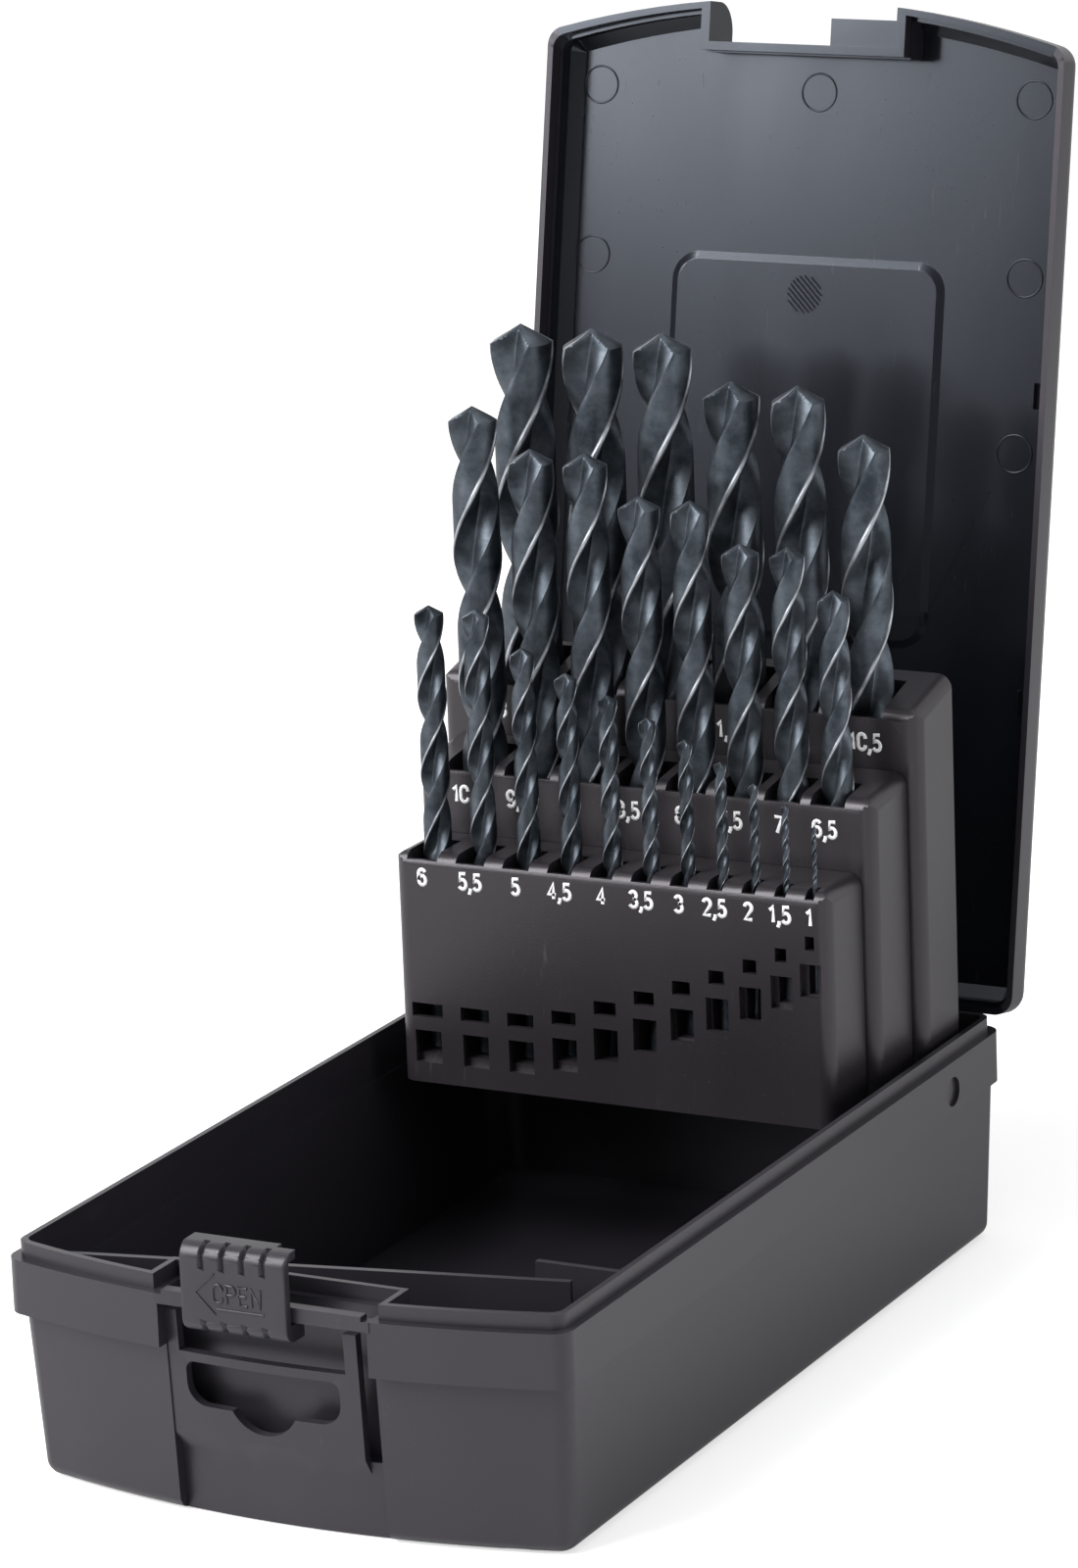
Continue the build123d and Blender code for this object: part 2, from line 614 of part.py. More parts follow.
def cut_windows(body, diameter, x, face):
    """The small square window over the larger one, through the front wall."""
    level = window_height(diameter)
    reach = (face - 1, face + POCKET_FRONT_WALL + OVERLAP)
    wide = (WINDOW_WIDTH + WINDOW_WIDENING * diameter) / 2
    narrow = (diameter + POCKET_PLAY) / 2
    low, high = level - WINDOW_HALF_HEIGHT, level + WINDOW_HALF_HEIGHT
    body -= block_between((x - wide, x + wide), reach, (low, high))
    low, high = (level + height for height in UPPER_WINDOW)
    return body - block_between((x - narrow, x + narrow), reach, (low, high))


def block_keys(name, next_name):
    """Square keys that hold a block to the one behind it."""
    y = (block_faces()[name][1] - OVERLAP, block_faces()[next_name][0])
    for side in (-1, 1):
        x = side * KEY_X
        for z in KEY_HEIGHTS[name]:
            yield block_between((x - KEY_HALF, x + KEY_HALF), y, (z - KEY_HALF, z + KEY_HALF))


def holder_parts():
    """The three blocks with their keys, and the trunnions on the rear one."""
    parts = {name: holder_block(name) for name in BLOCKS}
    order = list(BLOCKS)
    for ahead, behind in zip(order, order[1:]):
        for key in block_keys(ahead, behind):
            parts[ahead] += key
    root = HALF - BLOCKS["rear"]["inset"] - TRUNNION_ROOT
    for side in (-1, 1):
        x = sorted((side * root, side * (HALF - TRUNNION_INSET)))
        parts["rear"] += rod_along_x(x, PIVOT_Y, PIVOT_Z, PIVOT_HOLE_RADIUS - PIVOT_FIT)
    return parts


def ring(diameter, z, turn_deg):
    """Eight points of the fluted section: two lands and two flutes."""
    radius = diameter / 2 - BODY_RELIEF
    pattern = [
        (-LAND_HALF_DEG, radius),
        (LAND_HALF_DEG, radius),
        (FLUTE_HEEL_DEG, radius * HEEL_SHARE),
        (FLUTE_FLOOR_DEG, radius * WEB_SHARE),
    ]
    points = []
    for half_turn in (0, 180):
        for angle, distance in pattern:
            a = radians(angle + half_turn + turn_deg)
            points.append(Vector(distance * cos(a), distance * sin(a), z))
    return points


def facets(rings, apex):
    """Triangles between rings, a cap under the first and a cone from the last to the apex."""
    faces = [Face(Wire.make_polygon(rings[0], close=True))]
    for low, high in zip(rings, rings[1:]):
        for here in range(len(low)):
            after = (here + 1) % len(low)
            faces.append(triangle(low[here], low[after], high[after]))
            faces.append(triangle(low[here], high[after], high[here]))
    last = rings[-1]
    for here in range(len(last)):
        faces.append(triangle(last[here], last[(here + 1) % len(last)], apex))
    return faces


def triangle(a, b, c):
    return Face(Wire.make_polygon([a, b, c], close=True))


def drill(diameter, length, flute):
    """A jobber drill standing on its shank: plain shank, helical flutes and a conical point."""
    lead = pi * diameter / tan(radians(HELIX_DEG))
    point = diameter / 2 / tan(radians(POINT_DEG / 2))
    start, end = length - flute, length - point
    turn = 360 * (end - start) / lead
    steps = max(2, round(turn / FLUTE_STEP_DEG))
    rings = []
    for step in range(steps + 1):
        z = start - OVERLAP + (end - start + OVERLAP) * step / steps
        rings.append(ring(diameter, z, turn * step / steps))
    fluted = Solid(Shell(facets(rings, Vector(0, 0, length))))
    shank = extrude(RegularPolygon(diameter / 2, SHANK_SIDES), start)
    return shank + fluted


def write(shape, name):
    """Save a sub-part under its node's name."""
    shape.label = name
    export_step(shape, f"parts/{name}.step")


def main():
    os.makedirs("parts", exist_ok=True)
    write(tub(), "tub")
    write(lid(), "lid")
    write(latch_slider(), "latch_slider")
    for name, shape in holder_parts().items():
        write(shape, f"holder_{name}")
    for sizes, _, x, y, seat in drill_places():
        write(Pos(x, y, seat) * drill(*sizes), drill_name(sizes[0]))


main()
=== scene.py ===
"""Looks of the drill bit case: plastics, steel, twisted drills, printed sizes, studio and camera. Metres."""

import json
from functools import partial
from math import cos, pi, radians, sin, tan

import bmesh
import bpy
from mathutils import Matrix, Vector


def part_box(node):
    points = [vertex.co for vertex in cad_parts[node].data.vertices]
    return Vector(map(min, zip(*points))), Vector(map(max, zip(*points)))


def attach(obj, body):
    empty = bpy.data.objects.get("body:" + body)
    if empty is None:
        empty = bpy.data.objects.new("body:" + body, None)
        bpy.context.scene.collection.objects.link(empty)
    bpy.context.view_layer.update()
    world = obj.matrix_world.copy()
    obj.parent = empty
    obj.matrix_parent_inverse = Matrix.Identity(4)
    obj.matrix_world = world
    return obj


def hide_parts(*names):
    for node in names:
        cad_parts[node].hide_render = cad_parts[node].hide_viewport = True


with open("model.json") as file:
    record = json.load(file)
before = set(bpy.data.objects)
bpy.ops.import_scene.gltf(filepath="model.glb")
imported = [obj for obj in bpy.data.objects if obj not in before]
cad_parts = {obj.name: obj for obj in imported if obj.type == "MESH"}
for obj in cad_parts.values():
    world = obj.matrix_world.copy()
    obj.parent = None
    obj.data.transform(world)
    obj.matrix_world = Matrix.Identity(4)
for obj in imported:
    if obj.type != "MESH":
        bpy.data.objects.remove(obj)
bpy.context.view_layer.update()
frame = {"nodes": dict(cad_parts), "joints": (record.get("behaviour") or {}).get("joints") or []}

MM = 0.001

# ---- camera
CAMERA_PLACE = Vector((0.5635, -1.06356, 0.43746))
CAMERA_YAW = radians(27.678)
CAMERA_PITCH = radians(14.949)
CAMERA_ROLL = radians(-2.187)
CAMERA_LENS = 147.65  # millimetres
SENSOR = 36.0
NEAREST_SEEN = 0.05

# ---- twist drills
HELIX = radians(30)
POINT_HALF = radians(59)
FLUTE_LENGTHS = {  # standard jobber drills, millimetres
    1.0: 12, 1.5: 18, 2.0: 24, 2.5: 30, 3.0: 33, 3.5: 39, 4.0: 43, 4.5: 47, 5.0: 52,
    5.5: 57, 6.0: 57, 6.5: 63, 7.0: 69, 7.5: 69, 8.0: 75, 8.5: 75, 9.0: 81, 9.5: 81,
    10.0: 87, 10.5: 87, 11.0: 94, 11.5: 94, 12.0: 101, 12.5: 101, 13.0: 101,
}
DRILL_ROWS = 96
POINT_ROWS = 8
FOOT_ROWS = 3  # the middle of the foot, its rim and the edge above it
FOOT_EDGE = 0.16  # of the drill's radius
FLUTE_RUN_OUT = 1.4  # drill diameters over which a flute grows to its depth
DRILL_SIDES = 80
DRILL_SHARP = radians(28)
DRILL_TURN = radians(150)
DRILL_TURN_STEP = radians(9)
DRILL_TURNS = 3  # drills before the turn comes round again
SAME_POINT = 1e-6
LAND_END = 0.47  # of half a turn
MARGIN_START = 0.415
MARGIN_BLUR = 0.004
MARGIN_RELIEF = 0.955
# half of the drill's section: share of the half turn, share of the radius
FLUTE_SECTION = [
    (0.0, 0.93), (0.03, MARGIN_RELIEF), (MARGIN_START - 0.012, MARGIN_RELIEF), (MARGIN_START, 1.0),
    (LAND_END, 1.0), (0.50, 0.80), (0.56, 0.50), (0.64, 0.33), (0.72, 0.27), (0.80, 0.31),
    (0.88, 0.48), (0.95, 0.74), (1.0, 0.93),
]

# ---- the case's mouldings
SHARP = radians(34)  # edges steeper than this keep a crisp shade
BROKEN = radians(50)  # and than this are broken by a small radius
FLAT = radians(0.6)  # faces that meet at less than this are one face
SAME_CORNER = 0.002 * MM
NEAR = 0.05 * MM
WIDEST_EDGE = 0.9 * MM
CASE_EDGE = 0.28 * MM
LATCH_EDGE = 0.25 * MM
HOLDER_EDGE = 0.22 * MM
LATCH_ROLL = 0.9 * MM
LATCH_ROLL_REACH = 3.2 * MM
SHOULDER = 3.0 * MM
SHOULDER_STEPS = 6
BLOCKS = {  # half its width, rise of its top from front to back
    "front": (48.6 * MM, 0.0), "middle": (51.2 * MM, 2.2 * MM), "rear": (54.0 * MM, 4.4 * MM),
}
PANEL_EDGE = 0.4 * MM

# ---- printed sizes on the holder
NUMBER_HEIGHT = 4.05 * MM
NUMBER_STROKE = 0.76 * MM
NUMBER_RAISE = 0.04 * MM
# block: smallest size, face, height of the numbers' middle, shift and spreading from the drills
NUMBER_ROWS = {
    "front": (1.0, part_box("holder_front")[0].y, 83.2 * MM, 0.1 * MM, 1.0),
    "middle": (6.5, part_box("holder_middle")[0].y, 96.6 * MM, -1.5 * MM, 1.022),
    "rear": (10.5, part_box("holder_middle")[1].y, 110.5 * MM, -1.3 * MM, 1.08),
}

# ---- lid, measured from the hinge axis along the lid and up from the axis as it lies closed
LID_FLOOR_RISE = 10.8 * MM
LID_INSIDE_HALF = 56.9 * MM
PANEL_RISE = 10.0 * MM
PANEL_HALF = 30.2 * MM
PANEL_REAR = 77.0 * MM
PANEL_FRONT = 155.0 * MM
PANEL_MIDDLE = (PANEL_REAR + PANEL_FRONT) / 2
PANEL_CORNER = 5.0 * MM
PANEL_SKIRT = 2.0 * MM  # round the panel, all of it in the lid's hollow
PANEL_LEAN = {LID_FLOOR_RISE: 1.2 * MM, PANEL_RISE: -0.4 * MM}  # of the foot and top of its step
EJECTOR_RADIUS = 3.9 * MM
EJECTOR_LINE = 0.22 * MM
EJECTOR_SPOTS = [
    (-50.4, 190.2), (0.5, 190.4), (49.1, 190.7), (-50.5, 154.3), (49.1, 154.1), (48.9, 117.9),
    (-50.5, 117.9),
]
GATE_SPOT = (-0.2 * MM, 148.3 * MM)
GATE_LINES = 9
GATE_LINE = 0.32 * MM

# ---- raised marks on the latch: places across and up, on its front face
OPEN_LEFT = -8.4 * MM
OPEN_FOOT = 45.3 * MM
OPEN_HEIGHT = 3.5 * MM
OPEN_STROKE = 0.5 * MM
OPEN_WIDENING = 1.15
ARROW = [(-8.0, 50.8), (-12.1, 46.9), (-8.0, 42.9)]
UNDERLINE = [(-7.6, 44.1), (2.2, 44.1)]
ARROW_STROKE = 0.3 * MM
LATCH_MARK_RAISE = 0.22 * MM

# ---- plastics: colour, roughness, grain size and depth, scuffs, tint of the sheen
PLASTICS = {
    "case_satin_black": ((0.0205, 0.0185, 0.0235), 0.35, 0.6 * MM, 0.10, 0.25, (0.97, 0.93, 1.0)),
    "lid_smooth_inside": ((0.008, 0.009, 0.012), 0.19, 1.2 * MM, 0.04, 0.35, (0.80, 0.87, 1.0)),
    "latch_satin_black": ((0.0205, 0.0185, 0.0225), 0.38, 0.4 * MM, 0.14, 0.25, (0.97, 0.93, 1.0)),
    "holder_matt_black": ((0.0200, 0.0175, 0.0205), 0.34, 0.45 * MM, 0.30, 0.40, (0.98, 0.94, 1.0)),
}
FLOW_STRETCH = (26.0, 9.0, 9.0)
SCUFF_STRETCH = (900.0, 45.0, 120.0)
SCUFF_TURN = (0.4, 0.9, 0.5)
PATCH_SCALE = 30.0
DUST_SCALE = 420.0
MARK_BRIGHTNESS = 0.05
GRAIN_HEIGHT = 0.1 * MM

# ---- steel and ink
OXIDE_DARK = (0.036, 0.045, 0.055, 1)
OXIDE_LIGHT = (0.112, 0.128, 0.150, 1)
GROUND_STEEL = (0.46, 0.48, 0.52, 1)
OXIDE_MOTTLE = 170.0
GRINDING_LINES = (160.0, 160.0, 5200.0)
GRINDING_HEIGHT = 0.05 * MM
INK = (0.86, 0.86, 0.87, 1)
INK_THIN = (0.45, 0.45, 0.46, 1)
INK_SPECKLE = 2600.0

# ---- studio: strength of the room's light, and of its two halves in reflections
ROOM_LIGHT = 0.38
ROOM_BEHIND = 1.0
ROOM_IN_FRONT = 0.16
FLOOR_GLOW = 0.60  # seen straight, on top of its lit colour
FLOOR_REFLECTED = 0.10
FLOOR_HALF = 6.0
FLOOR_DROP = 0.3 * MM
LAMPS = {  # place, aim, width, height, watts
    "key_high_left": ((-0.75, -1.0, 1.3), (0, 0, 0.12), 1.0, 0.9, 34),
    "low_front_left": ((-1.06, -1.12, 0.70), (0, 0.1, 0.25), 1.0, 0.4, 12),
    "fill_right": ((1.25, 0.05, 0.30), (0, 0, 0.05), 0.8, 0.5, 4.6),
    "top": ((0.05, 0.1, 1.3), (0, 0, 0.1), 1.0, 1.0, 3),
}

# ---- joints, from the record
LID_HINGE = {joint["name"]: joint for joint in frame["joints"]}["lid_hinge"]
HINGE_POINT = Vector(LID_HINGE["pos_m"])
LID_OPENING = Matrix.Rotation(-radians(LID_HINGE["range_deg"][0]), 4, Vector(LID_HINGE["axis"]))
LID_FRAME = Matrix.Translation(HINGE_POINT) @ LID_OPENING @ Matrix.Diagonal((1, -1, 1, 1))


# ------------------------------------------------------------------ building blocks

def feed(tree, value, socket):
    """Link a value that comes out of a node, or write a plain one."""
    if isinstance(value, bpy.types.NodeSocket):
        tree.links.new(value, socket)
    else:
        socket.default_value = value


def place(tree, kind, settings=None, **inputs):
    """A new node with its settings and inputs; spaces in input names are written as underscores."""
    node = tree.nodes.new(kind)
    for name, value in (settings or {}).items():
        setattr(node, name, value)
    for name, value in inputs.items():
        feed(tree, value, node.inputs[name.replace("_", " ")])
    return node


def calc(tree, operation, *values):
    """The result of one sum."""
    node = place(tree, "ShaderNodeMath", {"operation": operation})
    for value, socket in zip(values, node.inputs):
        feed(tree, value, socket)
    return node.outputs[0]


def spread(tree, value, low, high, new_low, new_high, smooth=False):
    """Map a value from one range to another."""
    node = place(
        tree, "ShaderNodeMapRange", {"interpolation_type": "SMOOTHSTEP" if smooth else "LINEAR"},
        Value=value, From_Min=low, From_Max=high, To_Min=new_low, To_Max=new_high,
    )
    return node.outputs[0]


def mixed(tree, share, low, high):
    """A number between two, by its share of the second."""
    node = place(tree, "ShaderNodeMix", {"data_type": "FLOAT"})
    for value, socket in zip((share, low, high), (node.inputs[0], node.inputs[2], node.inputs[3])):
        feed(tree, value, socket)
    return node.outputs[0]


def mixed_colour(tree, share, first, second):
    """A colour between two, by its share of the second."""
    node = place(tree, "ShaderNodeMix", {"data_type": "RGBA"})
    for value, socket in zip((share, first, second), (node.inputs[0], node.inputs[6], node.inputs[7])):
        feed(tree, value, socket)
    return node.outputs[2]


def new_group(name, kind, inputs, outputs):
    """An empty node group with named sockets: name, type and default."""
    tree = bpy.data.node_groups.new(name, kind)
    for label, socket_type, default in inputs:
        socket = tree.interface.new_socket(label, in_out="INPUT", socket_type=socket_type)
        if default is not None:
            socket.default_value = default
    for label, socket_type in outputs:
        tree.interface.new_socket(label, in_out="OUTPUT", socket_type=socket_type)
    return tree, tree.nodes.new("NodeGroupInput").outputs, tree.nodes.new("NodeGroupOutput").inputs


def piece(name, mesh, *materials):
    """A mesh object at the origin, linked to the scene."""
    obj = bpy.data.objects.new(name, mesh)
    bpy.context.scene.collection.objects.link(obj)
    for material in materials:
        mesh.materials.append(material)
    return obj


def settled(obj):
    """The object's mesh with its modifiers worked in."""
    depsgraph = bpy.context.evaluated_depsgraph_get()
    mesh = bpy.data.meshes.new_from_object(obj.evaluated_get(depsgraph), depsgraph=depsgraph)
    obj.modifiers.clear()
    obj.data = mesh
    return obj


def set_inputs(modifier, **inputs):
    """Set a tree's inputs by the identifiers of their sockets."""
    for socket in modifier.node_group.interface.items_tree:
        label = socket.name.replace(" ", "_")
        if socket.in_out == "INPUT" and label in inputs:
            modifier[socket.identifier] = inputs[label]


def grown(name, tree, **inputs):
    """An object whose mesh is made by a geometry node tree with these inputs."""
    obj = piece(name, bpy.data.meshes.new(name))
    modifier = obj.modifiers.new(tree.name, "NODES")
    modifier.node_group = tree
    set_inputs(modifier, **inputs)
    return obj


def finished(tree, geometry, finish):
    """The shared end of a geometry tree: instances made real, and the finish set."""
    whole = place(tree, "GeometryNodeRealizeInstances", Geometry=geometry)
    return place(tree, "GeometryNodeSetMaterial", Geometry=whole.outputs[0], Material=finish).outputs[0]


def clamp(value, limit):
    """A number kept between plus and minus a limit."""
    return max(-limit, min(limit, value))


# ------------------------------------------------------------------ finishes

def moulded_surface():
    """Surface of a moulded plastic: fine grain, slow flow marks, dust and faint scuffs."""
    tree, given, result = new_group(
        "Moulded surface", "ShaderNodeTree",
        [
            ("Colour", "NodeSocketColor", (0.02, 0.02, 0.02, 1)),
            ("Roughness", "NodeSocketFloat", 0.4),
            ("Grain Size", "NodeSocketFloat", 0.0005),
            ("Grain Depth", "NodeSocketFloat", 0.2),
            ("Scuffs", "NodeSocketFloat", 0.3),
        ],
        [("Colour", "NodeSocketColor"), ("Roughness", "NodeSocketFloat"), ("Normal", "NodeSocketVector")],
    )
    where = place(tree, "ShaderNodeTexCoord").outputs["Object"]
    grain_scale = calc(tree, "DIVIDE", 1.0, given["Grain Size"])
    grain = place(tree, "ShaderNodeTexNoise", Vector=where, Scale=grain_scale, Detail=3.0).outputs["Fac"]
    flow_space = place(tree, "ShaderNodeMapping", Vector=where, Scale=FLOW_STRETCH).outputs["Vector"]
    flow = place(
        tree, "ShaderNodeTexNoise", Vector=flow_space, Scale=1.0, Detail=4.0, Distortion=0.6
    ).outputs["Fac"]
    scuff, dust = scuffs_and_dust(tree, where, given["Scuffs"])

    tone = spread(tree, flow, 0.3, 0.7, 0.88, 1.12)
    toned = place(tree, "ShaderNodeVectorMath", {"operation": "SCALE"}, Vector=given["Colour"], Scale=tone)
    marks = calc(tree, "MULTIPLY", calc(tree, "ADD", scuff, dust), MARK_BRIGHTNESS)
    colour = place(tree, "ShaderNodeVectorMath", {"operation": "ADD"})
    tree.links.new(toned.outputs["Vector"], colour.inputs[0])
    tree.links.new(marks, colour.inputs[1])
    tree.links.new(colour.outputs["Vector"], result["Colour"])

    rough = calc(tree, "ADD", given["Roughness"], spread(tree, flow, 0.3, 0.7, -0.035, 0.045))
    rough = calc(tree, "ADD", rough, calc(tree, "MULTIPLY", scuff, 0.2))
    tree.links.new(rough, result["Roughness"])

    bump = place(
        tree, "ShaderNodeBump", Strength=given["Grain Depth"], Distance=GRAIN_HEIGHT,
        Height=calc(tree, "ADD", grain, calc(tree, "MULTIPLY", scuff, -0.6)),
    )
    tree.links.new(bump.outputs["Normal"], result["Normal"])
    return tree


def scuffs_and_dust(tree, where, strength):
    """Fine slanted scuffs and specks of dust, both gathered in patches."""
    scuff_space = place(
        tree, "ShaderNodeMapping", Vector=where, Rotation=SCUFF_TURN, Scale=SCUFF_STRETCH
    ).outputs["Vector"]
    scuff = place(tree, "ShaderNodeTexNoise", Vector=scuff_space, Scale=1.0, Detail=2.0).outputs["Fac"]
    scuff = spread(tree, scuff, 0.66, 0.80, 0.0, 1.0)
    patch = place(tree, "ShaderNodeTexNoise", Vector=where, Scale=PATCH_SCALE, Detail=2.0).outputs["Fac"]
    patch = spread(tree, patch, 0.45, 0.65, 0.0, 1.0)
    scuff = calc(tree, "MULTIPLY", calc(tree, "MULTIPLY", scuff, patch), strength)
    dust = place(tree, "ShaderNodeTexVoronoi", Vector=where, Scale=DUST_SCALE).outputs["Distance"]
    dust = spread(tree, dust, 0.05, 0.11, 1.0, 0.0)
    dust = calc(tree, "MULTIPLY", calc(tree, "MULTIPLY", dust, patch), strength)
    return scuff, dust


def new_material(name):
    """A material with its Principled shader ready for the sockets."""
    material = bpy.data.materials.new(name)
    material.use_nodes = True
    return material, material.node_tree, material.node_tree.nodes["Principled BSDF"]


def plastic(name, surface, colour, roughness, grain_size, grain_depth, scuffs, sheen):
    """A moulded plastic with its own colour and grain."""
    material, tree, shader = new_material(name)
    group = place(
        tree, "ShaderNodeGroup", {"node_tree": surface}, Colour=(*colour, 1), Roughness=roughness,
        Grain_Size=grain_size, Grain_Depth=grain_depth, Scuffs=scuffs,
    )
    tree.links.new(group.outputs["Colour"], shader.inputs["Base Color"])
    tree.links.new(group.outputs["Roughness"], shader.inputs["Roughness"])
    tree.links.new(group.outputs["Normal"], shader.inputs["Normal"])
    shader.inputs["Specular Tint"].default_value = (*sheen, 1)
    return material


def oxide_surface():
    """Steam-blackened steel: blue-grey mottling, grinding lines round the bar and bright ground margins."""
    tree, given, result = new_group(
        "Oxide surface", "ShaderNodeTree",
        [
            ("Dark", "NodeSocketColor", (0.06, 0.07, 0.08, 1)),
            ("Light", "NodeSocketColor", (0.12, 0.14, 0.16, 1)),
            ("Ground", "NodeSocketColor", (0.4, 0.42, 0.45, 1)),
            ("Roughness", "NodeSocketFloat", 0.38),
        ],
        [("Colour", "NodeSocketColor"), ("Roughness", "NodeSocketFloat"), ("Normal", "NodeSocketVector")],
    )
    where = place(tree, "ShaderNodeTexCoord").outputs["Object"]
    mottle = place(
        tree, "ShaderNodeTexNoise", Vector=where, Scale=OXIDE_MOTTLE, Detail=5.0, Roughness=0.62
    ).outputs["Fac"]
    line_space = place(tree, "ShaderNodeMapping", Vector=where, Scale=GRINDING_LINES).outputs["Vector"]
    lines = place(tree, "ShaderNodeTexNoise", Vector=line_space, Scale=1.0, Detail=2.0).outputs["Fac"]
    margin = place(tree, "ShaderNodeAttribute", {"attribute_name": "margin"}).outputs["Fac"]
    margin = calc(tree, "MULTIPLY", margin, spread(tree, mottle, 0.35, 0.6, 0.55, 1.0))

    light_share = spread(tree, mottle, 0.35, 0.68, 0.0, 1.0)
    oxide = mixed_colour(tree, light_share, given["Dark"], given["Light"])
    tree.links.new(mixed_colour(tree, margin, oxide, given["Ground"]), result["Colour"])

    rough = calc(tree, "ADD", given["Roughness"], spread(tree, lines, 0.3, 0.7, -0.06, 0.06))
    tree.links.new(calc(tree, "SUBTRACT", rough, calc(tree, "MULTIPLY", margin, 0.12)), result["Roughness"])
    bump = place(tree, "ShaderNodeBump", Strength=0.25, Distance=GRINDING_HEIGHT, Height=lines)
    tree.links.new(bump.outputs["Normal"], result["Normal"])
    return tree


def drill_steel():
    """Blackened steel of the drills."""
    material, tree, shader = new_material("drill_steel_oxide")
    group = place(
        tree, "ShaderNodeGroup", {"node_tree": oxide_surface()},
        Dark=OXIDE_DARK, Light=OXIDE_LIGHT, Ground=GROUND_STEEL, Roughness=0.46,
    )
    tree.links.new(group.outputs["Colour"], shader.inputs["Base Color"])
    tree.links.new(group.outputs["Roughness"], shader.inputs["Roughness"])
    tree.links.new(group.outputs["Normal"], shader.inputs["Normal"])
    shader.inputs["Metallic"].default_value = 0.9
    return material


def white_ink():
    """Printed numbers, a little thin where the ink didn't take."""
    material, tree, shader = new_material("number_ink")
    where = place(tree, "ShaderNodeTexCoord").outputs["Object"]
    speckle = place(
        tree, "ShaderNodeTexNoise", Vector=where, Scale=INK_SPECKLE, Detail=3.0
    ).outputs["Fac"]
    ink = mixed_colour(tree, spread(tree, speckle, 0.28, 0.40, 0.0, 1.0), INK_THIN, INK)
    tree.links.new(ink, shader.inputs["Base Color"])
    shader.inputs["Roughness"].default_value = 0.55
    return material


# ------------------------------------------------------------------ the case's mouldings

def softened(node, name, body, edge, materials, reshape=None, ease=None):
    """A moulding from its solid, with its sharp edges broken by a small radius."""
    obj = piece(name, weighted_copy(node, edge, reshape, ease), *materials)
    bevel = obj.modifiers.new("edges", "BEVEL")
    bevel.width = WIDEST_EDGE
    bevel.segments = 2
    bevel.limit_method = "WEIGHT"
    bevel.use_clamp_overlap = True
    bevel.miter_outer = "MITER_ARC"
    settled(obj)
    for polygon in obj.data.polygons:
        polygon.use_smooth = True
    obj.data.set_sharp_from_angle(angle=SHARP)
    even = obj.modifiers.new("even shading", "WEIGHTED_NORMAL")
    even.keep_sharp = True
    even.weight = 100
    settled(obj)
    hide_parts(node)
    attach(obj, body)


def weighted_copy(node, edge, reshape, ease):
    """A merged copy of a solid, reshaped, with a share of the widest edge written on each sharp line."""
    mesh = frame["nodes"][node].data.copy()
    mesh.materials.clear()
    for attribute in ("custom_normal", "sharp_edge", "sharp_face"):
        if attribute in mesh.attributes:
            mesh.attributes.remove(mesh.attributes[attribute])
    work = bmesh.new()
    work.from_mesh(mesh)
    bmesh.ops.remove_doubles(work, verts=work.verts, dist=SAME_CORNER)
    bmesh.ops.dissolve_limit(work, angle_limit=FLAT, verts=work.verts, edges=work.edges)
    if reshape:
        reshape(work)
    bmesh.ops.triangulate(work, faces=work.faces, quad_method="BEAUTY", ngon_method="BEAUTY")
    width = work.edges.layers.float.new("bevel_weight_edge")
    for line in work.edges:
        if line.calc_face_angle(0) > BROKEN:
            line[width] = edge / WIDEST_EDGE
    if ease:
        ease(work, width)
    work.to_mesh(mesh)
    work.free()
    return mesh


def round_latch_sides(work, width):
    """The slider's front face rolls over to its sides."""
    low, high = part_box("latch_slider")
    for line in work.edges:
        middle = (line.verts[0].co + line.verts[1].co) / 2
        at_side = min(middle.x - low.x, high.x - middle.x) < 0.02 * MM
        fade = 1 - (middle.y - low.y) / LATCH_ROLL_REACH
        if at_side and line.calc_face_angle(0) > BROKEN:
            line[width] = max(line[width], fade * LATCH_ROLL / WIDEST_EDGE)


def roll_shoulders(work, block):
    """A block's top rolls over to its two sides."""
    half, rise = BLOCKS[block]
    low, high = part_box(f"holder_{block}")
    start = half - SHOULDER
    for step in range(SHOULDER_STEPS):
        x = start + SHOULDER * sin(radians(90) * step / SHOULDER_STEPS)
        cut_across(work, x)
        cut_across(work, -x)
    for vertex in work.verts:
        past = min(abs(vertex.co.x) - start, SHOULDER)
        if past > 0:
            top = high.z - rise * (high.y - vertex.co.y) / (high.y - low.y)
            vertex.co.z = min(vertex.co.z, top - SHOULDER + (SHOULDER**2 - past**2) ** 0.5)


def cut_across(work, x):
    """Divide every face that crosses a place across the block."""
    everything = work.verts[:] + work.edges[:] + work.faces[:]
    bmesh.ops.bisect_plane(
        work, geom=everything, dist=SAME_CORNER / 20, plane_co=(x, 0, 0), plane_no=(1, 0, 0)
    )


def lid_place(x, along, rise):
    """A point on the open lid, given from the hinge axis as the lid lies closed."""
    return LID_FRAME @ Vector((x, along, rise))


def panel_place(point):
    """Where a point of the lid lies from the inner panel's outline: core point, way outwards, rise."""
    x, along, rise = LID_FRAME.inverted() @ point
    along -= PANEL_MIDDLE
    straight_along = (PANEL_FRONT - PANEL_REAR) / 2 - PANEL_CORNER
    core = Vector((clamp(x, PANEL_HALF - PANEL_CORNER), clamp(along, straight_along)))
    return core, Vector((x, along)) - core, rise


def shape_lid(work, width):
    """Slope the step round the inner panel, mark the inside's finish and round the slope's two edges."""
    lean_panel(work)
    for face in work.faces:
        if looks_inside(face.calc_center_median(), face.normal):
            face.material_index = 1
    for line in work.edges:
        for level, lean in PANEL_LEAN.items():
            if all(on_panel_outline(vertex.co, level, lean) for vertex in line.verts):
                line[width] = PANEL_EDGE / WIDEST_EDGE


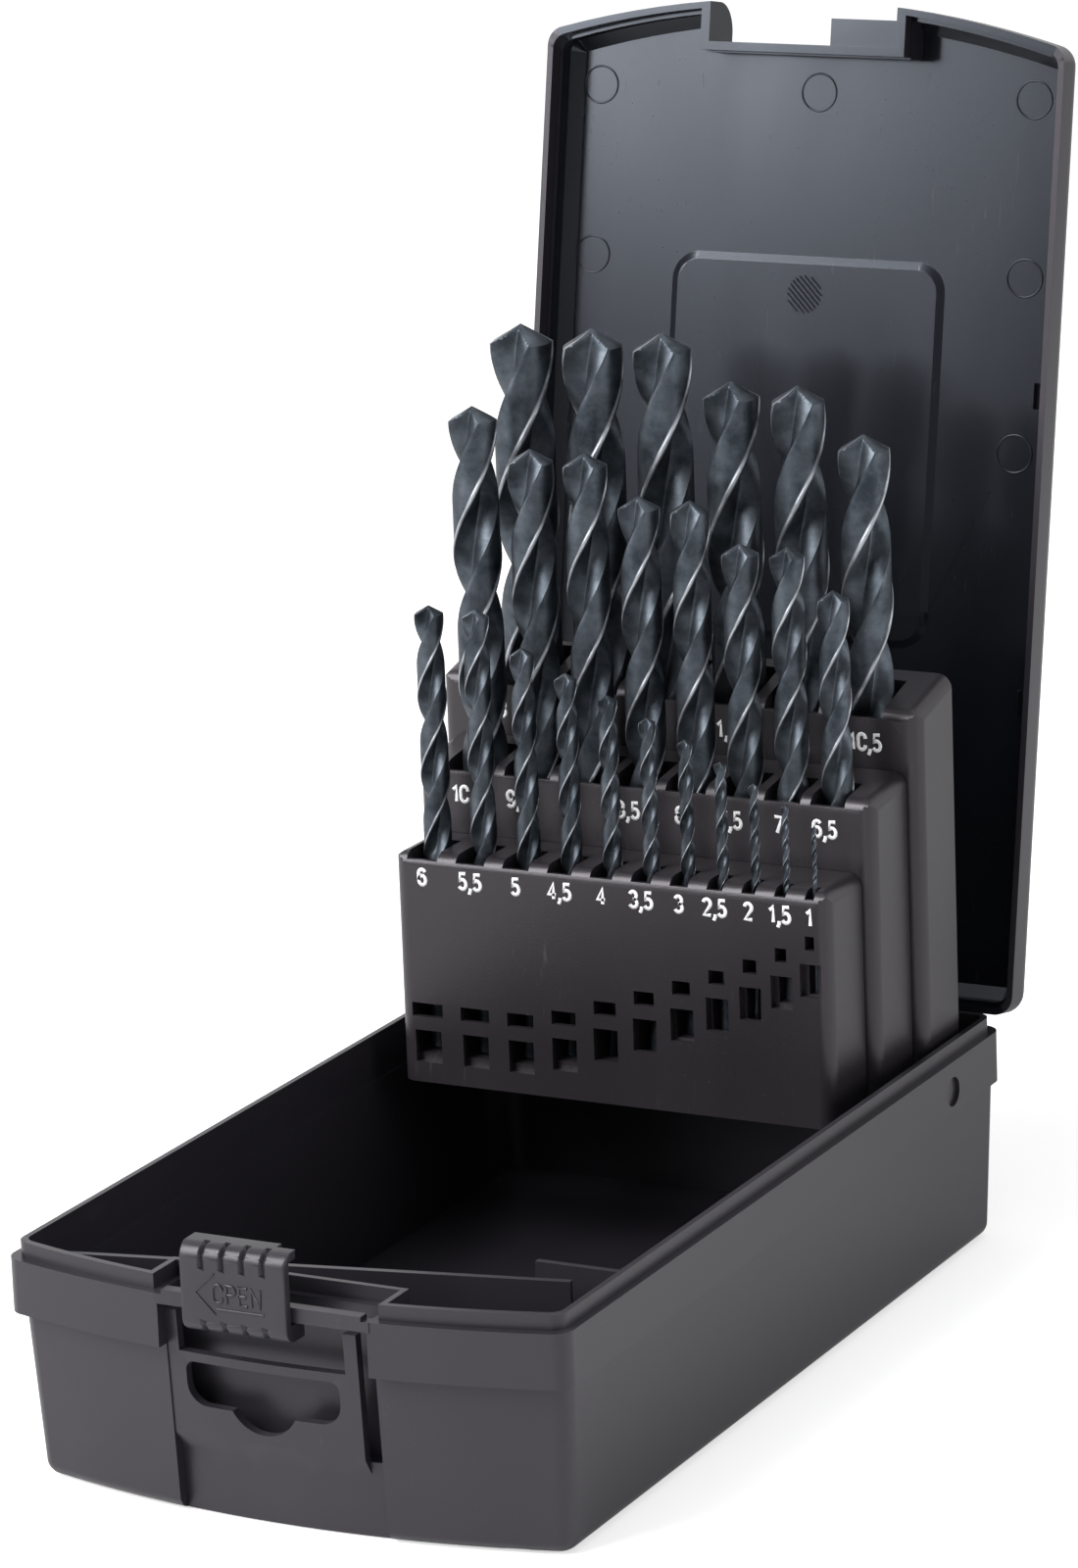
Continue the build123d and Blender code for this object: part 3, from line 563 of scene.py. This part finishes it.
def on_panel_outline(point, level, lean=0.0):
    """Whether a point lies on the panel's outline at a level, moved outwards by the lean."""
    _, outward, rise = panel_place(point)
    return abs(outward.length - PANEL_CORNER - lean) < NEAR and abs(rise - level) < NEAR


def lean_panel(work):
    """Turn the upright step round the panel into a slope."""
    for vertex in work.verts:
        for level, lean in PANEL_LEAN.items():
            if on_panel_outline(vertex.co, level):
                core, outward, rise = panel_place(vertex.co)
                moved = core + outward.normalized() * (PANEL_CORNER + lean)
                vertex.co = lid_place(moved.x, moved.y + PANEL_MIDDLE, rise)


def looks_inside(point, normal):
    """Whether a face of the lid looks into its hollow."""
    core, outward, rise = panel_place(point)
    spot = core + outward
    facing = LID_FRAME.inverted().to_3x3() @ normal
    if rise > LID_FLOOR_RISE + NEAR or abs(spot.x) > LID_INSIDE_HALF or facing.z > 0.5:
        return False
    is_floor = facing.z < -0.5
    at_panel = outward.length < PANEL_CORNER + PANEL_SKIRT
    return is_floor or at_panel or facing.xy.dot(spot) < 0


# ------------------------------------------------------------------ twist drills

def twist_drill_tree():
    """A drill from its diameter, length and flute length: the section turns with the helix and is cut off
    by the cone of the point, so the flutes run out through it as they do on a ground drill."""
    tree, given, result = new_group(
        "Twist drill", "GeometryNodeTree",
        [
            ("Diameter", "NodeSocketFloat", 0.006),
            ("Length", "NodeSocketFloat", 0.093),
            ("Flute Length", "NodeSocketFloat", 0.057),
            ("Turn", "NodeSocketFloat", 0.0),
            ("Finish", "NodeSocketMaterial", None),
        ],
        [("Geometry", "NodeSocketGeometry")],
    )
    sheet = place(
        tree, "GeometryNodeMeshGrid", Size_X=1.0, Size_Y=1.0,
        Vertices_X=DRILL_ROWS, Vertices_Y=DRILL_SIDES + 1,
    )
    spot = place(
        tree, "ShaderNodeSeparateXYZ", Vector=place(tree, "GeometryNodeInputPosition").outputs[0]
    )
    along = calc(tree, "ADD", spot.outputs["X"], 0.5)
    around = calc(tree, "ADD", spot.outputs["Y"], 0.5)
    row = calc(tree, "ROUND", calc(tree, "MULTIPLY", along, DRILL_ROWS - 1.0))
    half_turn = calc(tree, "FRACT", calc(tree, "MULTIPLY", around, 2.0))
    radius = calc(tree, "MULTIPLY", given["Diameter"], 0.5)
    foot_edge = calc(tree, "MULTIPLY", radius, FOOT_EDGE)
    flute_start = calc(tree, "SUBTRACT", given["Length"], given["Flute Length"])

    z = drill_height(tree, given["Length"], row, radius, foot_edge, flute_start)
    run_out = calc(tree, "ADD", flute_start, calc(tree, "MULTIPLY", given["Diameter"], FLUTE_RUN_OUT))
    fluted = spread(tree, z, flute_start, run_out, 0.0, 1.0, smooth=True)
    section = mixed(tree, fluted, 1.0, section_curve(tree, half_turn))
    reach = drill_reach(tree, given["Length"], z, radius, section)
    reach = mixed(tree, is_foot(tree, row), reach, foot_reach(tree, row, radius, foot_edge))
    angle = drill_angle(tree, given, z, around)
    spot = place(
        tree, "ShaderNodeCombineXYZ", X=calc(tree, "MULTIPLY", reach, calc(tree, "COSINE", angle)),
        Y=calc(tree, "MULTIPLY", reach, calc(tree, "SINE", angle)), Z=z,
    )
    marked = place(
        tree, "GeometryNodeStoreNamedAttribute", {"data_type": "FLOAT", "domain": "POINT"},
        Geometry=sheet.outputs["Mesh"], Name="margin", Value=on_margin(tree, half_turn, fluted),
    )
    turned = place(tree, "GeometryNodeSetPosition", Geometry=marked.outputs[0], Position=spot.outputs[0])
    tree.links.new(drill_skin(tree, turned.outputs[0], given["Finish"]), result["Geometry"])
    return tree


def is_foot(tree, row):
    """Whether a row belongs to the shank's end."""
    return calc(tree, "LESS_THAN", row, FOOT_ROWS - 0.5)


def drill_height(tree, length, row, radius, foot_edge, flute_start):
    """How high a row stands: the foot's edge, the fluted body and then the point."""
    last_row = DRILL_ROWS - 1.0
    point_row = last_row - POINT_ROWS
    point_start = calc(tree, "SUBTRACT", length, calc(tree, "DIVIDE", radius, tan(POINT_HALF)))
    body = spread(tree, row, float(FOOT_ROWS), point_row, flute_start, point_start)
    point = spread(tree, row, point_row, last_row, point_start, length)
    above_rim = calc(tree, "GREATER_THAN", row, FOOT_ROWS - 1.5)
    height = mixed(tree, calc(tree, "GREATER_THAN", row, point_row), body, point)
    return mixed(tree, is_foot(tree, row), height, calc(tree, "MULTIPLY", above_rim, foot_edge))


def drill_reach(tree, length, z, radius, section):
    """How far the surface stands from the axis: the section, cut off by the cone of the point."""
    cone = calc(tree, "MULTIPLY", calc(tree, "SUBTRACT", length, z), tan(POINT_HALF))
    return calc(tree, "MINIMUM", calc(tree, "MULTIPLY", radius, section), cone)


def foot_reach(tree, row, radius, foot_edge):
    """How far the foot's rows stand from the axis: its middle, its rim and the shank above."""
    above_rim = calc(tree, "GREATER_THAN", row, FOOT_ROWS - 1.5)
    past_middle = calc(tree, "GREATER_THAN", row, 0.5)
    reach = mixed(tree, above_rim, calc(tree, "SUBTRACT", radius, foot_edge), radius)
    return calc(tree, "MULTIPLY", reach, past_middle)


def drill_angle(tree, given, z, around):
    """How far the section is turned at a height, measured from the tip down the helix."""
    lead = calc(tree, "DIVIDE", calc(tree, "MULTIPLY", given["Diameter"], pi), tan(HELIX))
    below_tip = calc(tree, "SUBTRACT", z, given["Length"])
    twist = calc(tree, "MULTIPLY", calc(tree, "DIVIDE", below_tip, lead), 2 * pi)
    start = calc(tree, "MULTIPLY", around, 2 * pi)
    return calc(tree, "ADD", start, calc(tree, "ADD", twist, given["Turn"]))


def on_margin(tree, half_turn, fluted):
    """Whether a point is on the bright ground margin beside a flute."""
    margin = calc(tree, "GREATER_THAN", half_turn, MARGIN_START - MARGIN_BLUR)
    margin = calc(tree, "MULTIPLY", margin, calc(tree, "LESS_THAN", half_turn, LAND_END + MARGIN_BLUR))
    return calc(tree, "MULTIPLY", margin, calc(tree, "GREATER_THAN", fluted, 0.5))


def drill_skin(tree, geometry, finish):
    """Close the turned sheet, face it outwards, shade it and give it its finish."""
    closed = place(tree, "GeometryNodeMergeByDistance", Geometry=geometry, Distance=SAME_POINT)
    outward = place(tree, "GeometryNodeFlipFaces", Mesh=closed.outputs[0])
    smooth = place(tree, "GeometryNodeSetShadeSmooth", Geometry=outward.outputs[0], Shade_Smooth=True)
    fold = place(tree, "GeometryNodeInputMeshEdgeAngle").outputs[0]
    sharp = place(
        tree, "GeometryNodeSetShadeSmooth", {"domain": "EDGE"}, Geometry=smooth.outputs[0],
        Selection=calc(tree, "GREATER_THAN", fold, DRILL_SHARP), Shade_Smooth=False,
    )
    return finished(tree, sharp.outputs[0], finish)


def section_curve(tree, half_turn):
    """The drill's section as a curve over half a turn: relieved land, margin, cutting face and flute."""
    node = place(tree, "ShaderNodeFloatCurve", Value=half_turn)
    points = node.mapping.curves[0].points
    points[0].location = FLUTE_SECTION[0]
    points[-1].location = FLUTE_SECTION[-1]
    for spot in FLUTE_SECTION[1:-1]:
        points.new(*spot)
    for point in points:
        on_land = point.location[0] < LAND_END + 0.01
        point.handle_type = "VECTOR" if on_land else "AUTO"
    node.mapping.update()
    return node.outputs[0]


def drill_node(diameter):
    """The name of a drill's solid."""
    return f"drill_{diameter:04.1f}mm".replace(".", "_")


def make_drills(finish):
    """Every drill on its own body, standing where its solid stands."""
    tree = twist_drill_tree()
    for number, (diameter, flute) in enumerate(sorted(FLUTE_LENGTHS.items())):
        node = drill_node(diameter)
        low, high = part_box(node)
        obj = grown(
            f"{node}_steel", tree, Diameter=diameter * MM, Length=high.z - low.z,
            Flute_Length=flute * MM, Turn=DRILL_TURN + DRILL_TURN_STEP * (number % DRILL_TURNS),
            Finish=finish,
        )
        settled(obj)
        obj.data.transform(Matrix.Translation(((low.x + high.x) / 2, (low.y + high.y) / 2, low.z)))
        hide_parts(node)
        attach(obj, node)


# ------------------------------------------------------------------ numbers and lettering

def bow(x, z, reach_x, reach_z, start, end, steps=10):
    """Points along part of an ellipse, angles in degrees from +X."""
    angles = [radians(start + (end - start) * step / steps) for step in range(steps + 1)]
    return [(x + reach_x * cos(angle), z + reach_z * sin(angle)) for angle in angles]


# each sign as pen strokes in a field one high: its width and its strokes
SIGNS = {
    "0": (0.5, [bow(0.25, 0.70, 0.25, 0.30, 0, 180) + bow(0.25, 0.30, 0.25, 0.30, 180, 360)]),
    "1": (0.34, [[(0.0, 0.74), (0.14, 0.82), (0.24, 1.0), (0.24, 0.0)]]),
    "2": (0.5, [bow(0.25, 0.73, 0.24, 0.27, 165, -35) + [(0.02, 0.0), (0.5, 0.0)]]),
    "3": (0.5, [bow(0.24, 0.75, 0.22, 0.25, 160, -90), bow(0.24, 0.26, 0.25, 0.26, 90, -160)]),
    "4": (0.52, [[(0.37, 0.0), (0.37, 1.0), (0.0, 0.27), (0.52, 0.27)]]),
    "5": (0.5, [[(0.46, 1.0), (0.10, 1.0), (0.04, 0.52)] + bow(0.24, 0.31, 0.25, 0.31, 125, -155)]),
    "6": (0.5, [
        bow(0.25, 0.71, 0.24, 0.29, 30, 180) + [(0.01, 0.31)],
        bow(0.25, 0.31, 0.24, 0.31, 180, -180),
    ]),
    "7": (0.48, [[(0.0, 1.0), (0.48, 1.0), (0.16, 0.0)]]),
    "8": (0.5, [bow(0.25, 0.75, 0.21, 0.25, -90, 270), bow(0.25, 0.26, 0.25, 0.26, 90, 450)]),
    "9": (0.5, [
        bow(0.25, 0.69, 0.24, 0.31, 0, 360),
        [(0.49, 0.69)] + bow(0.25, 0.29, 0.24, 0.29, 0, -150),
    ]),
    ",": (0.08, [[(0.08, 0.10), (0.08, -0.06), (-0.02, -0.30)]]),
    "O": (0.5, [bow(0.25, 0.70, 0.25, 0.30, 0, 180) + bow(0.25, 0.30, 0.25, 0.30, 180, 360)]),
    "P": (0.46, [
        [(0.0, 0.0), (0.0, 1.0)],
        [(0.0, 1.0)] + bow(0.22, 0.75, 0.24, 0.25, 90, -90) + [(0.0, 0.5)],
    ]),
    "E": (0.42, [[(0.42, 1.0), (0.0, 1.0), (0.0, 0.0), (0.42, 0.0)], [(0.0, 0.52), (0.36, 0.52)]]),
    "N": (0.46, [[(0.0, 0.0), (0.0, 1.0), (0.46, 0.0), (0.46, 1.0)]]),
}
SIGN_GAP = 0.21


def text_width(text):
    """Width of a line of signs one high."""
    return sum(SIGNS[sign][0] for sign in text) + SIGN_GAP * (len(text) - 1)


def text_strokes(text, height, widening=1.0):
    """The pen strokes of a line of signs, from its lower left corner."""
    pen = 0.0
    strokes = []
    for sign in text:
        width, lines = SIGNS[sign]
        strokes += [[((pen + x) * height * widening, z * height) for x, z in line] for line in lines]
        pen += width + SIGN_GAP
    return strokes


def stroke_tree():
    """A flat raised line of even width along each given path."""
    tree, given, result = new_group(
        "Raised strokes", "GeometryNodeTree",
        [
            ("Paths", "NodeSocketGeometry", None),
            ("Width", "NodeSocketFloat", 0.0007),
            ("Raise", "NodeSocketFloat", 0.00004),
            ("Finish", "NodeSocketMaterial", None),
        ],
        [("Geometry", "NodeSocketGeometry")],
    )
    section = place(
        tree, "GeometryNodeCurvePrimitiveQuadrilateral", Width=given["Width"],
        Height=calc(tree, "MULTIPLY", given["Raise"], 2.0),
    )
    level = place(tree, "GeometryNodeSetCurveNormal", {"mode": "Z_UP"}, Curve=given["Paths"])
    bars = place(
        tree, "GeometryNodeCurveToMesh", Curve=level.outputs[0], Profile_Curve=section.outputs[0],
        Fill_Caps=True,
    )
    tree.links.new(finished(tree, bars.outputs[0], given["Finish"]), result["Geometry"])
    return tree


def drawn(name, tree, strokes, width, raise_by, material, body):
    """Raised strokes on faces that look towards -Y; a stroke is its face's depth and its (x, z) points."""
    paths = bpy.data.curves.new(name, "CURVE")
    paths.dimensions = "3D"
    for face, points in strokes:
        spline = paths.splines.new("POLY")
        spline.points.add(len(points) - 1)
        for point, (x, z) in zip(spline.points, points):
            point.co = (x, z, -face, 1)
    lines = bpy.data.objects.new(f"{name}_paths", paths)
    bpy.context.scene.collection.objects.link(lines)
    modifier = lines.modifiers.new(tree.name, "NODES")
    modifier.node_group = tree
    set_inputs(modifier, Width=width, Raise=raise_by, Finish=material)
    depsgraph = bpy.context.evaluated_depsgraph_get()
    mesh = bpy.data.meshes.new_from_object(lines.evaluated_get(depsgraph), depsgraph=depsgraph)
    bpy.data.objects.remove(lines)
    mesh.transform(Matrix.Rotation(radians(90), 4, "X"))
    obj = piece(name, mesh)
    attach(obj, body)
    return obj


def size_text(diameter):
    """A drill's size with a decimal comma, and without it when whole."""
    return f"{diameter:.1f}".replace(".", ",").replace(",0", "")


def holder_numbers(tree, ink):
    """The printed sizes on the front faces of the three blocks."""
    strokes = []
    pen_height = NUMBER_HEIGHT - NUMBER_STROKE
    for diameter in FLUTE_LENGTHS:
        block = [name for name, row in NUMBER_ROWS.items() if diameter >= row[0]][-1]
        _, face, middle, shift, spreading = NUMBER_ROWS[block]
        low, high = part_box(drill_node(diameter))
        text = size_text(diameter)
        left = (low.x + high.x) / 2 * spreading + shift - text_width(text) * pen_height / 2
        for line in text_strokes(text, pen_height):
            strokes.append((face, [(left + x, middle + z - pen_height / 2) for x, z in line]))
    drawn("holder_numbers", tree, strokes, NUMBER_STROKE, NUMBER_RAISE, ink, "holder")


def latch_marks(tree, material):
    """The raised word and arrow on the slider's face."""
    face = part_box("latch_slider")[0].y
    word = text_strokes("OPEN", OPEN_HEIGHT, OPEN_WIDENING)
    letters = [(face, [(OPEN_LEFT + x, OPEN_FOOT + z) for x, z in line]) for line in word]
    lines = [(face, [(x * MM, z * MM) for x, z in line]) for line in (ARROW, UNDERLINE)]
    marks = {"latch_word": (letters, OPEN_STROKE), "latch_arrow": (lines, ARROW_STROKE)}
    for name, (strokes, width) in marks.items():
        obj = drawn(name, tree, strokes, width, LATCH_MARK_RAISE, material, "latch")


# ------------------------------------------------------------------ moulding marks inside the lid

def mark_tree():
    """Round marks of the mould's ejector pins: a shallow ring on each given point."""
    tree, given, result = new_group(
        "Ejector marks", "GeometryNodeTree",
        [
            ("Points", "NodeSocketGeometry", None),
            ("Radius", "NodeSocketFloat", EJECTOR_RADIUS),
            ("Line", "NodeSocketFloat", EJECTOR_LINE),
            ("Tilt", "NodeSocketVector", (0, 0, 0)),
            ("Finish", "NodeSocketMaterial", None),
        ],
        [("Geometry", "NodeSocketGeometry")],
    )
    circle = "GeometryNodeCurvePrimitiveCircle"
    ring = place(tree, circle, {"mode": "RADIUS"}, Resolution=48, Radius=given["Radius"])
    wire = place(tree, circle, {"mode": "RADIUS"}, Resolution=8, Radius=given["Line"])
    tube = place(tree, "GeometryNodeCurveToMesh", Curve=ring.outputs[0], Profile_Curve=wire.outputs[0])
    spots = place(
        tree, "GeometryNodeInstanceOnPoints", Points=given["Points"], Instance=tube.outputs[0],
        Rotation=given["Tilt"],
    )
    whole = place(tree, "GeometryNodeRealizeInstances", Geometry=spots.outputs[0])
    smooth = place(tree, "GeometryNodeSetShadeSmooth", Geometry=whole.outputs[0], Shade_Smooth=True)
    tree.links.new(finished(tree, smooth.outputs[0], given["Finish"]), result["Geometry"])
    return tree


def gate_tree():
    """The hatched round mark of the mould's gate: parallel ridges, each as long as the circle allows."""
    tree, given, result = new_group(
        "Gate hatching", "GeometryNodeTree",
        [
            ("Radius", "NodeSocketFloat", EJECTOR_RADIUS),
            ("Lines", "NodeSocketInt", GATE_LINES),
            ("Line", "NodeSocketFloat", GATE_LINE),
            ("Finish", "NodeSocketMaterial", None),
        ],
        [("Geometry", "NodeSocketGeometry")],
    )
    reach = calc(tree, "SUBTRACT", given["Radius"], given["Line"])
    start = place(tree, "ShaderNodeCombineXYZ", Y=calc(tree, "MULTIPLY", reach, -1.0))
    end = place(tree, "ShaderNodeCombineXYZ", Y=reach)
    row = place(
        tree, "GeometryNodeMeshLine", {"mode": "END_POINTS"}, Count=given["Lines"],
        Start_Location=start.outputs[0], Offset=end.outputs[0],
    )
    spot = place(
        tree, "ShaderNodeSeparateXYZ", Vector=place(tree, "GeometryNodeInputPosition").outputs[0]
    )
    offset = spot.outputs["Y"]
    squares = calc(
        tree, "SUBTRACT", calc(tree, "MULTIPLY", given["Radius"], given["Radius"]),
        calc(tree, "MULTIPLY", offset, offset),
    )
    length = calc(tree, "MULTIPLY", calc(tree, "SQRT", squares), 2.0)
    size = place(tree, "ShaderNodeCombineXYZ", X=length, Y=given["Line"], Z=given["Line"])
    bar = place(tree, "GeometryNodeMeshCube")
    bars = place(
        tree, "GeometryNodeInstanceOnPoints", Points=row.outputs[0], Instance=bar.outputs["Mesh"],
        Rotation=(radians(45), 0.0, 0.0), Scale=size.outputs[0],
    )
    tree.links.new(finished(tree, bars.outputs[0], given["Finish"]), result["Geometry"])
    return tree


def lid_marks(material):
    """The ejector rings on the lid's inner face and the hatched gate mark on its panel."""
    rings = grown(
        "lid_ejector_marks", mark_tree(), Radius=EJECTOR_RADIUS, Line=EJECTOR_LINE,
        Tilt=tuple(LID_OPENING.to_euler()), Finish=material,
    )
    spots = [lid_place(x * MM, along * MM, LID_FLOOR_RISE) for x, along in EJECTOR_SPOTS]
    rings.data.from_pydata(spots, [], [])
    gate = grown(
        "lid_gate_mark", gate_tree(), Radius=EJECTOR_RADIUS, Lines=GATE_LINES, Line=GATE_LINE,
        Finish=material,
    )
    for obj in (rings, gate):
        settled(obj)
        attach(obj, "lid")
    centre = Matrix.Translation(lid_place(*GATE_SPOT, PANEL_RISE))
    gate.data.transform(centre @ LID_OPENING @ Matrix.Rotation(radians(45), 4, "Z"))


# ------------------------------------------------------------------ studio

def studio_floor():
    """A wide pale floor that keeps the shadow and shows white to the camera."""
    material, tree, shader = new_material("studio_floor")
    shader.inputs["Base Color"].default_value = (0.80, 0.80, 0.80, 1)
    shader.inputs["Roughness"].default_value = 0.9
    shader.inputs["Specular IOR Level"].default_value = 0.1
    shader.inputs["Emission Color"].default_value = (1, 1, 1, 1)
    light_path = place(tree, "ShaderNodeLightPath").outputs
    seen = calc(tree, "MAXIMUM", light_path["Is Camera Ray"], light_path["Is Transmission Ray"])
    glow = calc(tree, "MULTIPLY", seen, FLOOR_GLOW)
    reflected = calc(tree, "MULTIPLY", light_path["Is Glossy Ray"], FLOOR_REFLECTED)
    tree.links.new(calc(tree, "ADD", glow, reflected), shader.inputs["Emission Strength"])
    sheet = bmesh.new()
    bmesh.ops.create_grid(sheet, x_segments=1, y_segments=1, size=FLOOR_HALF)
    mesh = bpy.data.meshes.new("studio_floor")
    sheet.to_mesh(mesh)
    sheet.free()
    mesh.transform(Matrix.Translation((0, 0, -FLOOR_DROP)))
    piece("studio_floor", mesh, material)


def studio_world():
    """White to the camera and behind the case; reflections find the room in front of it darker."""
    world = bpy.data.worlds.new("studio")
    world.use_nodes = True
    tree = world.node_tree
    light_path = place(tree, "ShaderNodeLightPath").outputs
    direction = place(tree, "ShaderNodeTexCoord").outputs["Generated"]
    towards = place(tree, "ShaderNodeSeparateXYZ", Vector=direction)
    behind = spread(tree, towards.outputs["Y"], -0.1, 0.6, ROOM_IN_FRONT, ROOM_BEHIND, smooth=True)
    seen = calc(tree, "MAXIMUM", light_path["Is Camera Ray"], light_path["Is Transmission Ray"])
    strength = mixed(tree, light_path["Is Glossy Ray"], ROOM_LIGHT, behind)
    background = tree.nodes["Background"]
    background.inputs["Color"].default_value = (1, 1, 1, 1)
    tree.links.new(mixed(tree, seen, strength, 1.0), background.inputs["Strength"])
    bpy.context.scene.world = world


def softbox(name, where, target, width, height, power):
    """A soft rectangular lamp aimed at a point."""
    light = bpy.data.lights.new(name, "AREA")
    light.shape = "RECTANGLE"
    light.size = width
    light.size_y = height
    light.energy = power
    obj = bpy.data.objects.new(name, light)
    bpy.context.scene.collection.objects.link(obj)
    aim = Vector(target) - Vector(where)
    obj.matrix_world = Matrix.Translation(where) @ aim.to_track_quat("-Z", "Y").to_matrix().to_4x4()


def camera():
    """The camera, turned by its yaw, pitch and roll."""
    level = cos(CAMERA_PITCH)
    forward = Vector((-sin(CAMERA_YAW) * level, cos(CAMERA_YAW) * level, -sin(CAMERA_PITCH)))
    right = Vector((cos(CAMERA_YAW), sin(CAMERA_YAW), 0))
    up = right.cross(forward)
    tilted_right = right * cos(CAMERA_ROLL) + up * sin(CAMERA_ROLL)
    tilted_up = up * cos(CAMERA_ROLL) - right * sin(CAMERA_ROLL)
    data = bpy.data.cameras.new("camera")
    data.lens = CAMERA_LENS
    data.sensor_fit = "AUTO"
    data.sensor_width = SENSOR
    data.sensor_height = SENSOR
    data.clip_start = NEAREST_SEEN
    obj = bpy.data.objects.new("camera", data)
    bpy.context.scene.collection.objects.link(obj)
    turn = Matrix((tilted_right, tilted_up, -forward)).transposed().to_4x4()
    obj.matrix_world = Matrix.Translation(CAMERA_PLACE) @ turn
    bpy.context.scene.camera = obj


def make_mouldings(case, lid_inside, latch, holder):
    """The case's two halves, the latch's slider and the three blocks of the holder."""
    softened("tub", "tub_moulding", "tub", CASE_EDGE, [case])
    softened("lid", "lid_moulding", "lid", CASE_EDGE, [case, lid_inside], ease=shape_lid)
    softened(
        "latch_slider", "latch_moulding", "latch", LATCH_EDGE, [latch],
        ease=round_latch_sides,
    )
    for block in BLOCKS:
        softened(
            f"holder_{block}", f"holder_{block}_moulding", "holder", HOLDER_EDGE, [holder],
            reshape=partial(roll_shoulders, block=block),
        )


def main():
    surface = moulded_surface()
    case, lid_inside, latch, holder = [
        plastic(name, surface, *values) for name, values in PLASTICS.items()
    ]
    make_mouldings(case, lid_inside, latch, holder)
    make_drills(drill_steel())
    strokes = stroke_tree()
    holder_numbers(strokes, white_ink())
    latch_marks(strokes, latch)
    lid_marks(lid_inside)
    studio_floor()
    studio_world()
    for name, lamp in LAMPS.items():
        softbox(name, *lamp)
    camera()
    bpy.context.scene.view_settings.view_transform = "Standard"


main()
